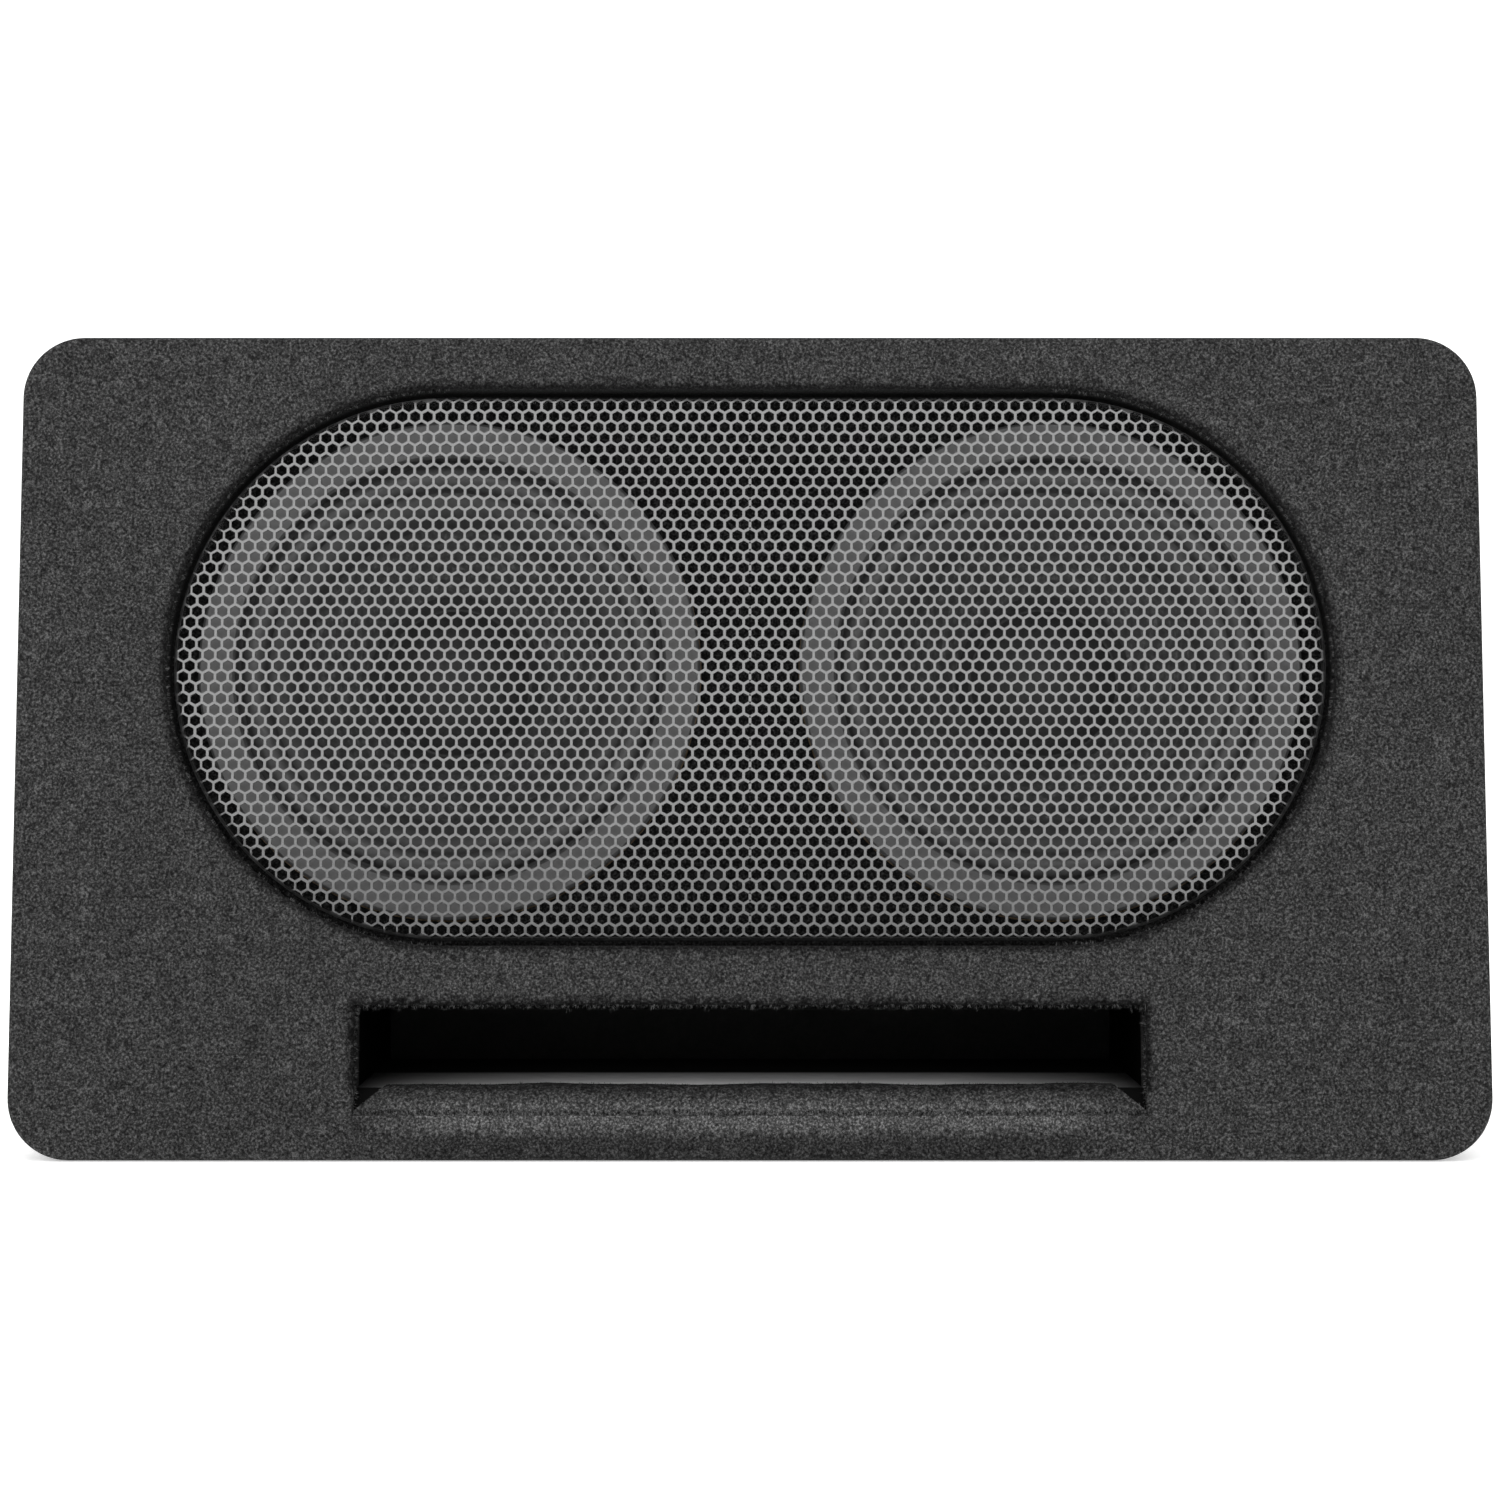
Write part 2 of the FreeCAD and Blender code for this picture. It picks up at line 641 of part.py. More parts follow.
def amp_gasket():
    near, far = REAR_Y - CARPET, REAR_Y - AMP_GASKET
    ring = box(-AMP_HALF_X, AMP_HALF_X, near, far, AMP_Z - AMP_HALF_Z, AMP_Z + AMP_HALF_Z)
    hole_x = AMP_HALF_X - AMP_LEDGE
    hole_z = AMP_HALF_Z - AMP_LEDGE
    ring = ring.cut(box(-hole_x, hole_x, near - 1, far + 1, AMP_Z - hole_z, AMP_Z + hole_z))
    holes = [rod_y(x, z, near - 1, far + 1, SCREW_R) for x, z in amp_screw_spots()]
    return ring.cut(group(holes))


def amp_screws():
    screws = []
    for x, z in amp_screw_spots():
        shank = rod_y(x, z, REAR_Y - CARPET - 10, PLATE_FACE + 0.5, SCREW_R)
        head = rod_y(x, z, PLATE_FACE, PLATE_FACE + 2.2, 3.6)
        head = head.makeFillet(1.2, [e for e in head.Edges if e.BoundBox.YMin > PLATE_FACE + 2])
        cross = join([box(x - 2, x + 2, PLATE_FACE + 1, PLATE_FACE + 3, z - 0.5, z + 0.5),
                      box(x - 0.5, x + 0.5, PLATE_FACE + 1, PLATE_FACE + 3, z - 2, z + 2)])
        screws.append(join([shank, head]).cut(cross))
    return group(screws)


def amp_pcb():
    return box(-134, 134, PCB_FACE - PCB_THICK, PCB_FACE, AMP_Z - 58, AMP_Z + 58)


def capacitors():
    base = PCB_FACE - PCB_THICK
    cans = [rod_y(x, AMP_Z - 30, base - 32, base, 8) for x in (-110, -90, -70, -50)]
    return group([can.makeFillet(1.2, [can.Edges[0]]) for can in cans])


def transformer():
    base = PCB_FACE - PCB_THICK
    core = Part.makeTorus(15, 7.5, Vector(-10, base - 7.5, AMP_Z - 25), Vector(0, 1, 0))
    return core


def power_terminals():
    """Three one-way terminals side by side."""
    half = (TERMINAL_PITCH - TERMINAL_GAP) / 2
    out = []
    for k in (-1, 0, 1):
        x = TERMINAL_X + k * TERMINAL_PITCH
        block = box(x - half, x + half, PCB_FACE, PLATE_FACE + 6, CONTROL_Z - 9, CONTROL_Z + 9)
        bore = rod_y(x, CONTROL_Z - 2.5, PLATE_FACE - 8, PLATE_FACE + 7, TERMINAL_BORE_R)
        well = Part.makeCylinder(2.5, 4, Vector(x, PLATE_FACE + 2.5, CONTROL_Z + 6))
        out.append(block.cut(bore).cut(well))
    return group(out)


def terminal_screws():
    screws = []
    top = CONTROL_Z + 9
    for k in (-1, 0, 1):
        x = TERMINAL_X + k * TERMINAL_PITCH
        screw = Part.makeCylinder(2.5, 2.5, Vector(x, PLATE_FACE + 2.5, top - 3))
        slot = box(x - 3, x + 3, PLATE_FACE + 2.1, PLATE_FACE + 2.9, top - 1.3, top)
        screws.append(screw.cut(slot))
    return group(screws)


def fuses():
    """Two blade fuses in their slots."""
    out = []
    for x in FUSE_XS:
        blade = box(x - 2.6, x + 2.6, PCB_FACE, PLATE_FACE, CONTROL_Z - 7, CONTROL_Z + 7)
        cap = box(x - 2.6, x + 2.6, PLATE_FACE, PLATE_FACE + 5, CONTROL_Z - 9.5, CONTROL_Z + 9.5)
        out.append(join([blade, cap]))
    return group(out)


def rca_sockets():
    sockets = []
    for x in RCA_XS:
        back = box(x - 7, x + 7, PCB_FACE, PLATE_FACE - AMP_SHEET, CONTROL_Z - 8, CONTROL_Z + 8)
        barrel = rod_y(x, CONTROL_Z, PLATE_FACE - AMP_SHEET - 1, PLATE_FACE + 9, RCA_R)
        socket = join([back, barrel])
        bore = rod_y(x, CONTROL_Z, PLATE_FACE + 9 - RCA_BORE_LENGTH, PLATE_FACE + 10, RCA_BORE_R)
        sockets.append(socket.cut(bore))
    return group(sockets)


def remote_socket():
    """Square socket for the wired level remote, open towards the back."""
    face = PLATE_FACE - AMP_SHEET
    body = box(REMOTE_X - 9, REMOTE_X + 9, PCB_FACE, face, CONTROL_Z - 8, CONTROL_Z + 8)
    hole = box(REMOTE_X - 6, REMOTE_X + 6, face - 12, face + 1, CONTROL_Z - 4.5, CONTROL_Z + 4.5)
    return body.cut(hole)


def power_led():
    return rod_y(LED_X, CONTROL_Z, PCB_FACE, PLATE_FACE + 1, 1.5)


def knob(x):
    """Level knob with its own shaft and a pointer groove."""
    low = PLATE_FACE + KNOB_GAP
    head = rod_y(x, CONTROL_Z, low, HARDWARE_Y, KNOB_R)
    for k in range(12):
        angle = 2 * math.pi * (k + 0.5) / 12
        groove_x = x + (KNOB_R + 0.4) * math.cos(angle)
        groove_z = CONTROL_Z + (KNOB_R + 0.4) * math.sin(angle)
        head = head.cut(rod_y(groove_x, groove_z, low, HARDWARE_Y - 2, 0.9))
    head = head.cut(box(x - 0.5, x + 0.5, HARDWARE_Y - 0.8, HARDWARE_Y + 1,
                        CONTROL_Z + 1, CONTROL_Z + KNOB_R + 1))
    shaft = rod_y(x, CONTROL_Z, PCB_FACE + 6, low + 1, SHAFT_R)
    return join([head, shaft])


def phase_switch():
    """Sliding tab, drawn at its left stop."""
    x = SWITCH_X - SWITCH_TRAVEL / 2
    half = TAB / 2
    stem = box(x - half, x + half, PCB_FACE + 12, PLATE_FACE + 3, CONTROL_Z - half, CONTROL_Z + half)
    return stem


def control_bodies():
    """Potentiometers behind the knobs and the switch housing, on the circuit board."""
    half = POT_SIZE / 2
    bodies = []
    for x in KNOB_XS:
        body = box(x - half, x + half, PCB_FACE, PCB_FACE + 16, CONTROL_Z - half, CONTROL_Z + half)
        bodies.append(body.cut(rod_y(x, CONTROL_Z, PCB_FACE + 5.6, PCB_FACE + 17, POT_BORE_R)))
    reach = (TAB + SWITCH_TRAVEL) / 2 + 0.2
    housing = box(SWITCH_X - 7, SWITCH_X + 2, PCB_FACE, PCB_FACE + 18, CONTROL_Z - 5, CONTROL_Z + 5)
    housing = housing.fuse(box(SWITCH_X, SWITCH_X + 7, PCB_FACE, PCB_FACE + 18,
                               CONTROL_Z - 5, CONTROL_Z + 5)).removeSplitter()
    slot = box(SWITCH_X - reach, SWITCH_X + reach, PCB_FACE + 11.7, PCB_FACE + 19,
               CONTROL_Z - TAB / 2 - 0.3, CONTROL_Z + TAB / 2 + 0.3)
    bodies.append(housing.cut(slot))
    return group(bodies)


# ---------------------------------------------------------------- write
PARTS = {
    "bottom_panel": bottom_panel(),
    "top_panel": top_panel(),
    "side_panel_left": side_panel(-1),
    "side_panel_right": side_panel(1),
    "rear_panel": rear_panel(),
    "front_baffle": front_baffle(),
    "driver_board": driver_board(),
    "port_shelf": port_shelf(),
    "port_cheek_left": port_cheek(-1),
    "port_cheek_right": port_cheek(1),
    "port_floor": port_floor(),
    "carpet_wrap": carpet_wrap(),
    "carpet_base": carpet_base(),
    "carpet_front": carpet_front(),
    "carpet_rear": carpet_rear(),
    "carpet_recess": carpet_recess(),
    "carpet_lip": carpet_lip(),
    "damping_pad": damping_pad(),
    "grille": grille(),
    "grille_pegs": grille_pegs(),
    "grille_cups": grille_cups(),
    "driver_screws": driver_screws(),
    "driver_terminals": driver_terminals(),
    "amp_plate": amp_plate(),
    "amp_gasket": amp_gasket(),
    "amp_screws": amp_screws(),
    "amp_pcb": amp_pcb(),
    "capacitors": capacitors(),
    "transformer": transformer(),
    "power_terminals": power_terminals(),
    "terminal_screws": terminal_screws(),
    "fuses": fuses(),
    "rca_sockets": rca_sockets(),
    "remote_socket": remote_socket(),
    "power_led": power_led(),
    "gain_knob": knob(KNOB_XS[0]),
    "lowpass_knob": knob(KNOB_XS[1]),
    "boost_knob": knob(KNOB_XS[2]),
    "phase_switch": phase_switch(),
    "control_bodies": control_bodies(),
}
for side, x in (("left", -DRIVER_X), ("right", DRIVER_X)):
    PARTS["basket_" + side] = basket(x)
    PARTS["surround_" + side] = surround(x)
    PARTS["trim_ring_" + side] = trim_ring(x)
    PARTS["spider_" + side] = spider(x)
    PARTS["top_plate_" + side] = top_plate(x)
    PARTS["magnet_" + side] = magnet(x)
    PARTS["yoke_" + side] = yoke(x)
    PARTS["cone_" + side] = cone(x)
    PARTS["dust_cap_" + side] = dust_cap(x)
    PARTS["voice_coil_" + side] = voice_coil(x)

for name, shape in PARTS.items():
    solids = shape.Solids
    ok = bool(solids) and all(s.isValid() and s.Volume > 0 for s in solids)
    print(name, len(solids), "ok" if ok else "BAD")
    shape.exportStep("parts/" + name + ".step")
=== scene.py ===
import bpy
import bmesh
import json
import math
import random
import numpy as np
from mathutils import Matrix, Vector, noise


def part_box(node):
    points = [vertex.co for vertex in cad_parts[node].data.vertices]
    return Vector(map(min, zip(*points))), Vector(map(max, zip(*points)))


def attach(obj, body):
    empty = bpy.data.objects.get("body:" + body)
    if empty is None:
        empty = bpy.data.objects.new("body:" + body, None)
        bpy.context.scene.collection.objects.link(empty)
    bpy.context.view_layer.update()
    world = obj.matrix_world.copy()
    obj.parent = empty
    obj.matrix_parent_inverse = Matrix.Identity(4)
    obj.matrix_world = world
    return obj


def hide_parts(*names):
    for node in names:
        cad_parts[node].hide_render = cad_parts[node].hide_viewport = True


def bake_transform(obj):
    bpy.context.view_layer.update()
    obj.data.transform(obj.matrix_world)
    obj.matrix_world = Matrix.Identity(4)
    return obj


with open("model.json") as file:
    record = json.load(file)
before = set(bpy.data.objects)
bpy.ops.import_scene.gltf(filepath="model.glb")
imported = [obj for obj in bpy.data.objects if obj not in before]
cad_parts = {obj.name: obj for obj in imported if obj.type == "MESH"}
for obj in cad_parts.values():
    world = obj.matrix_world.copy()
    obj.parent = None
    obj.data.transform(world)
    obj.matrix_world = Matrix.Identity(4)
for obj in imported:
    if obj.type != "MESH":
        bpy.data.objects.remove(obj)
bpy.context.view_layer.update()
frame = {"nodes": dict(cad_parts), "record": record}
rng = random.Random(7)

# ---- sizes in metres, the same as in the CAD where it has them ----
LEAN = math.radians(7.0)
FRONT_Y = -0.131
DRIVER_X = 0.124
DRIVER_UP = 0.202
RECESS_R = 0.115
GRILLE_R = 0.1122
GRILLE_DEPTH = 0.004
GRILLE_SHEET = 0.001
GRILLE_RIM = 0.008
SNAP = 0.0002                   # a hole corner nearer than this moves onto the outline
KEY_STEP = 3e-6
SHOULDER = 0.0016               # bend of the sheet into its folded rim
HEX_PITCH = 0.00522
HEX_WEB = 0.00140               # width of the bars at mid thickness
HEX_FLAT = 0.00108              # width of their flat top
MOUTH_HALF = 0.160
MOUTH_TOP = 0.062
LIP_R = 0.010                   # nose of the port floor
LIP_SKIN = 0.0024
LIP_Z = 0.018
LIP_Y = FRONT_Y + LIP_Z * math.tan(LEAN) + (0.003 + LIP_R) / math.cos(LEAN)
LIP_FOOT_Z = 0.020
LIP_TOP_Z = LIP_Z + LIP_R + LIP_SKIN
LIP_TAPER = 0.013
CONTROL_Z = 0.150
PLATE_FACE = 0.1205
TICKS = 11                      # marks round each knob
TICK_FOOT = 0.0074              # their inner end, from the knob's axis
TICK_END, LONG_TICK_END = 0.0088, 0.0098
TICK_WIDTH = 0.0005
POINTER_FOOT, POINTER_END, POINTER_WIDTH = 0.0016, 0.0056, 0.0008
WHITE = (1, 1, 1, 1)
FACE = Matrix.Translation((0, FRONT_Y, 0)) @ Matrix.Rotation(math.pi / 2 - LEAN, 4, "X")


def face_point(x, up, depth=0.0):
    """Point of the leaning front: x right, up the slope, depth behind the carpet face."""
    return FACE @ Vector((x, up, -depth))


# ---------------------------------------------------------------- materials
class Nodes:
    """Small builder for a node material round one Principled shader."""

    def __init__(self, name):
        self.mat = bpy.data.materials.new(name)
        self.mat.use_nodes = True
        self.tree = self.mat.node_tree
        self.shader = self.tree.nodes["Principled BSDF"]
        self.coord = self.add("ShaderNodeTexCoord")

    def add(self, kind, **values):
        node = self.tree.nodes.new(kind)
        for key, value in values.items():
            setattr(node, key, value)
        return node

    def link(self, a, b):
        self.tree.links.new(a, b)

    def place(self, scale=(1, 1, 1)):
        mapping = self.add("ShaderNodeMapping")
        mapping.inputs["Scale"].default_value = scale
        self.link(self.coord.outputs["Object"], mapping.inputs["Vector"])
        return mapping.outputs["Vector"]

    def noise(self, scale, detail=3.0, rough=0.55, stretch=(1, 1, 1)):
        node = self.add("ShaderNodeTexNoise")
        node.inputs["Scale"].default_value = scale
        node.inputs["Detail"].default_value = detail
        node.inputs["Roughness"].default_value = rough
        self.link(self.place(stretch), node.inputs["Vector"])
        return node.outputs["Fac"]

    def ramp(self, fac, stops):
        node = self.add("ShaderNodeValToRGB")
        while len(node.color_ramp.elements) < len(stops):
            node.color_ramp.elements.new(0.5)
        for element, (at, colour) in zip(node.color_ramp.elements, stops):
            element.position = at
            element.color = (*colour, 1) if len(colour) == 3 else colour
        self.link(fac, node.inputs["Fac"])
        return node.outputs["Color"]

    def blend(self, kind, fac, a, b):
        node = self.add("ShaderNodeMix", data_type="RGBA", blend_type=kind)
        if isinstance(fac, float):
            node.inputs[0].default_value = fac
        else:
            self.link(fac, node.inputs[0])
        self.link(a, node.inputs[6])
        self.link(b, node.inputs[7])
        return node.outputs[2]

    def bump(self, height, strength, distance):
        node = self.add("ShaderNodeBump")
        node.inputs["Strength"].default_value = strength
        node.inputs["Distance"].default_value = distance
        self.link(height, node.inputs["Height"])
        self.link(node.outputs["Normal"], self.shader.inputs["Normal"])

    def sum(self, kind, a, b=0.0):
        """One arithmetic node; each input is a number or another node's output."""
        node = self.add("ShaderNodeMath", operation=kind)
        for socket, value in zip(node.inputs, (a, b)):
            if isinstance(value, float):
                socket.default_value = value
            else:
                self.link(value, socket)
        return node.outputs[0]

    def axis(self, name):
        """One coordinate of the object's own frame, in metres."""
        node = self.add("ShaderNodeSeparateXYZ")
        self.link(self.coord.outputs["Object"], node.inputs["Vector"])
        return node.outputs[name]

    def band(self, fac, low, high, stops):
        """Ramp over the stretch from low to high of a coordinate."""
        node = self.add("ShaderNodeMapRange")
        node.inputs["From Min"].default_value = low
        node.inputs["From Max"].default_value = high
        self.link(fac, node.inputs["Value"])
        return self.ramp(node.outputs["Result"], stops)

    def span(self, fac, low, high):
        node = self.add("ShaderNodeMapRange")
        node.inputs["To Min"].default_value = low
        node.inputs["To Max"].default_value = high
        self.link(fac, node.inputs["Value"])
        return node.outputs["Result"]


def grey(v):
    return (v, v, v)


def felt(name, dark, mid, light, grain=930.0, front=False):
    """Needle-punched carpet: salt-and-pepper fibres over soft lumps."""
    n = Nodes(name)
    fine = n.noise(grain, 2.0, 0.65)
    fleck = n.noise(grain * 1.9, 1.0, 0.5)
    lumps = n.noise(grain * 0.16, 2.0, 0.5)
    drift = n.noise(14.0, 2.0, 0.5)
    base = n.ramp(fine, [(0.32, dark), (0.5, mid), (0.68, light)])
    tint = n.ramp(lumps, [(0.3, grey(0.84)), (0.7, grey(1.14))])
    salt = n.ramp(fleck, [(0.38, grey(0.70)), (0.64, grey(1.34))])
    patch = n.ramp(drift, [(0.3, grey(0.95)), (0.7, grey(1.05))])
    colour = n.blend("MULTIPLY", 1.0, base, tint)
    colour = n.blend("MULTIPLY", 1.0, colour, salt)
    colour = n.blend("MULTIPLY", 1.0, colour, patch)
    # front carpet only: painted highlight and shade under the port, painted shade round the driver
    # recess and the port mouth
    if front:
        colour = n.blend("MULTIPLY", 1.0, colour, painted_lip_light(n))
        colour = n.blend("MULTIPLY", 1.0, colour, painted_recess_shade(n))
        colour = n.blend("MULTIPLY", 1.0, colour, painted_mouth_shade(n))
    n.link(colour, n.shader.inputs["Base Color"])
    n.shader.inputs["Roughness"].default_value = 0.95
    n.shader.inputs["Specular IOR Level"].default_value = 0.0
    n.shader.inputs["Sheen Weight"].default_value = 0.03
    n.shader.inputs["Sheen Roughness"].default_value = 0.6
    n.bump(fine, 0.6, 0.0013)
    return n.mat


def painted_lip_light(n):
    """Painted light on the pile under the port: pale along the bulge as a painted highlight, darker
    above it and at the hem as painted shade.
    """
    # height ramp: painted highlight from about 14 to 21 mm up, painted shade at the hem below it
    height = n.band(n.axis("Z"), 0.0, 0.072, [
        (0.0, grey(0.66)), (0.12, grey(0.76)), (0.20, grey(2.05)), (0.29, grey(2.00)),
        (0.35, grey(1.12)), (0.42, grey(1.05)), (0.50, grey(1.0))])
    reach = n.band(n.axis("X"), -0.2, 0.2, [
        (0.11, grey(0.0)), (0.19, grey(1.0)), (0.81, grey(1.0)), (0.89, grey(0.0))])
    plain = n.ramp(n.noise(30.0), [(0.0, grey(0.97)), (1.0, grey(1.03))])
    return n.blend("MIX", reach, plain, height)


def centre_reach(n):
    """Distance from the line between the two drivers' centres."""
    side = n.sum("SUBTRACT", n.sum("ABSOLUTE", n.axis("X")), DRIVER_X)
    side = n.sum("MAXIMUM", side, 0.0)
    up = n.sum("SUBTRACT", n.sum("DIVIDE", n.axis("Z"), math.cos(LEAN)), DRIVER_UP)
    return n.sum("SQRT", n.sum("ADD", n.sum("POWER", side, 2.0), n.sum("MULTIPLY", up, up)))


def painted_recess_shade(n):
    """Painted shade on the pile where the carpet rolls into the driver recess."""
    ragged = n.sum("MULTIPLY", n.noise(420.0, 2.0), 0.004)
    # darkest at the recess edge: painted shade
    return n.band(n.sum("ADD", centre_reach(n), ragged), RECESS_R, RECESS_R + 0.008, [
        (0.0, grey(0.10)), (0.34, grey(0.26)), (0.62, grey(0.80)), (0.88, grey(1.0))])


def painted_mouth_shade(n):
    """Painted shade on the pile that turns in over the edges of the port mouth."""
    side = n.sum("MAXIMUM", n.sum("SUBTRACT", n.sum("ABSOLUTE", n.axis("X")), MOUTH_HALF), 0.0)
    above = n.sum("SUBTRACT", n.axis("Z"), MOUTH_TOP)
    below = n.sum("SUBTRACT", n.sum("MULTIPLY", n.axis("Z"), -1.0), -LIP_TOP_Z)
    rise = n.sum("MAXIMUM", n.sum("MAXIMUM", above, below), 0.0)
    reach = n.sum("SQRT", n.sum("ADD", n.sum("POWER", side, 2.0), n.sum("POWER", rise, 2.0)))
    ragged = n.sum("MULTIPLY", n.noise(380.0, 3.0, 0.65), 0.009)
    # darkest at the mouth's edge: painted shade
    return n.band(n.sum("ADD", reach, ragged), 0.0030, 0.0110, [
        (0.0, grey(0.06)), (0.25, grey(0.16)), (0.50, grey(0.62)), (0.75, grey(1.0))])


def painted_light_floor(name, deep):
    """Bare grey board with painted light: lit at the mouth, painted shade on its nose, at both ends
    and further into the duct.
    """
    n = Nodes(name)
    grain = n.noise(420.0, 4.0, 0.6, (0.15, 1.0, 1.0))
    bare = n.ramp(grain, [(0.3, grey(0.58)), (0.7, grey(0.72))])
    # depth ramp: painted shade on the nose and deep in the duct, full colour only across the lit
    # strip
    depth = n.band(n.axis("Y"), LIP_Y - 0.004, deep, [
        (0.0, grey(0.02)), (0.07, grey(0.02)), (0.12, grey(1.0)), (0.90, grey(1.0)),
        (1.0, grey(0.02))])
    # painted shade from the port's side walls towards both ends
    ends = n.band(n.axis("X"), -MOUTH_HALF, MOUTH_HALF, [
        (0.0, grey(0.04)), (0.06, grey(0.30)), (0.25, grey(0.85)), (0.4, grey(1.0)),
        (0.6, grey(1.0)), (0.75, grey(0.85)), (0.94, grey(0.30)), (1.0, grey(0.04))])
    colour = n.blend("MULTIPLY", 1.0, bare, depth)
    n.link(n.blend("MULTIPLY", 1.0, colour, ends), n.shader.inputs["Base Color"])
    n.link(n.span(depth, 0.98, 0.55), n.shader.inputs["Roughness"])
    n.shader.inputs["Specular IOR Level"].default_value = 0.1
    n.bump(grain, 0.15, 0.0003)
    return n.mat


def grille_coat(name):
    """Satin grey coat, dull where the sheet turns down into its rim, and darkened there as painted
    shade.
    """
    n = Nodes(name)
    # mask near the outline: darkens the colour to 8% as painted shade, and raises the roughness
    turn = n.band(centre_reach(n), GRILLE_R - 0.0012, GRILLE_R, [
        (0.0, grey(1.0)), (0.6, grey(0.08))])
    coat = n.ramp(n.noise(700.0, 4.0, 0.6), [(0.3, grey(0.058)), (0.7, grey(0.074))])
    n.link(n.blend("MULTIPLY", 1.0, coat, turn), n.shader.inputs["Base Color"])
    uneven = n.sum("MULTIPLY", n.noise(160.0, 2.0), 0.08)
    n.link(n.sum("ADD", n.span(turn, 0.85, 0.09), uneven), n.shader.inputs["Roughness"])
    n.shader.inputs["Specular IOR Level"].default_value = 0.80
    n.bump(n.noise(700.0), 0.08, 0.0001)
    return n.mat


def pile(name):
    """Loose carpet fibres: dark tufts beside pale ones."""
    n = Nodes(name)
    tufts = n.noise(520.0, 1.0)
    n.link(n.ramp(tufts, [(0.42, grey(0.003)), (0.52, grey(0.018)), (0.62, grey(0.090))]),
           n.shader.inputs["Base Color"])
    n.shader.inputs["Roughness"].default_value = 0.9
    n.shader.inputs["Specular IOR Level"].default_value = 0.0
    return n.mat


def surface(name, low, high, scale, rough, metallic=0.0, bump=0.1, depth=0.0002,
            stretch=(1, 1, 1), specular=0.5, coat=0.0):
    """Colour that drifts between two tones, uneven gloss and a fine relief."""
    n = Nodes(name)
    drift = n.noise(scale, 4.0, 0.6, stretch)
    wear = n.noise(scale * 0.22, 2.0, 0.5)
    n.link(n.ramp(drift, [(0.3, low), (0.7, high)]), n.shader.inputs["Base Color"])
    n.link(n.span(wear, rough - 0.06, rough + 0.08), n.shader.inputs["Roughness"])
    n.shader.inputs["Metallic"].default_value = metallic
    n.shader.inputs["Specular IOR Level"].default_value = specular
    n.shader.inputs["Coat Weight"].default_value = coat
    n.bump(drift, bump, depth)
    return n.mat


def cloth(name, low, high, pitch, rough=0.9):
    """Open woven cloth: two crossed sets of threads."""
    n = Nodes(name)
    threads = []
    for axis in ("X", "Z"):
        wave = n.add("ShaderNodeTexWave", wave_type="BANDS", bands_direction=axis)
        wave.inputs["Scale"].default_value = 0.33 / pitch
        wave.inputs["Distortion"].default_value = 0.6
        n.link(n.place(), wave.inputs["Vector"])
        threads.append(wave.outputs["Fac"])
    weave = n.blend("MULTIPLY", 0.6, threads[0], threads[1])
    n.link(n.ramp(weave, [(0.1, low), (0.8, high)]), n.shader.inputs["Base Color"])
    n.shader.inputs["Roughness"].default_value = rough
    n.bump(weave, 0.5, 0.0003)
    return n.mat


def pulp(name):
    """Pressed paper cone: short pale fibres in a dark pulp, with faint mottling."""
    n = Nodes(name)
    fibre = n.noise(520.0, 3.0, 0.7, (1.0, 1.0, 0.3))
    cross = n.noise(520.0, 3.0, 0.7, (0.3, 1.0, 1.0))
    mottle = n.noise(60.0, 3.0, 0.6)
    base = n.ramp(fibre, [(0.38, grey(0.029)), (0.55, grey(0.047)), (0.68, grey(0.098))])
    other = n.ramp(cross, [(0.40, grey(0.75)), (0.68, grey(1.35))])
    tone = n.ramp(mottle, [(0.3, grey(0.85)), (0.7, grey(1.15))])
    colour = n.blend("MULTIPLY", 1.0, base, other)
    n.link(n.blend("MULTIPLY", 1.0, colour, tone), n.shader.inputs["Base Color"])
    n.link(n.span(mottle, 0.42, 0.56), n.shader.inputs["Roughness"])
    n.bump(fibre, 0.35, 0.0003)
    return n.mat


FELT_TONES = (grey(0.0074), grey(0.0268), grey(0.080))
CARPET = felt("carpet_felt", *FELT_TONES)
# front carpet with painted highlight and painted shade
FRONT_CARPET_PAINTED_LIGHT = felt("carpet_felt_front_painted_light", *FELT_TONES, front=True)
# darker copy of the felt for the recess walls: painted shade
SHADED_CARPET = felt("carpet_felt_painted_shade", grey(0.003), grey(0.009), grey(0.030))
FIBRE = pile("loose_fibre")
MDF = surface("fibreboard", (0.28, 0.19, 0.11), (0.46, 0.34, 0.22), 420.0, 0.8, bump=0.25)
# black-dyed board for the rear panel, darker than needed so the inside seen through the port stays
# black: partly painted shade
DARK_MDF_AND_SHADE = surface("dyed_fibreboard_and_shade", grey(0.010), grey(0.018), 420.0, 0.85, bump=0.25)
PORT_FLOOR_PAINTED_LIGHT = painted_light_floor("port_floor_painted_light", FRONT_Y + 0.096)
# black duct paint, made far darker than paint can be: partly painted shade
PORT_PAINT_AND_SHADE = surface("port_black_paint_and_shade", grey(0.0006), grey(0.0012), 160.0, 0.9, bump=0.08,
                    specular=0.02)
WADDING = surface("wadding_fibres", grey(0.55), grey(0.85), 260.0, 0.95, bump=0.8, depth=0.002)
MESH_STEEL = grille_coat("grille_coat")
MATT_BLACK = surface("matt_black_rubber", grey(0.005), grey(0.009), 900.0, 0.9, specular=0.1)
PLASTIC = surface("black_moulding", grey(0.012), grey(0.022), 900.0, 0.45, bump=0.2)
RUBBER = surface("black_rubber_skin", grey(0.014), grey(0.024), 600.0, 0.6, bump=0.15)
ROLL_RUBBER = surface("surround_rubber_skin", grey(0.042), grey(0.056), 420.0, 0.42, bump=0.12)
RING_RUBBER = surface("ring_rubber_skin", grey(0.058), grey(0.078), 300.0, 0.42, bump=0.10)
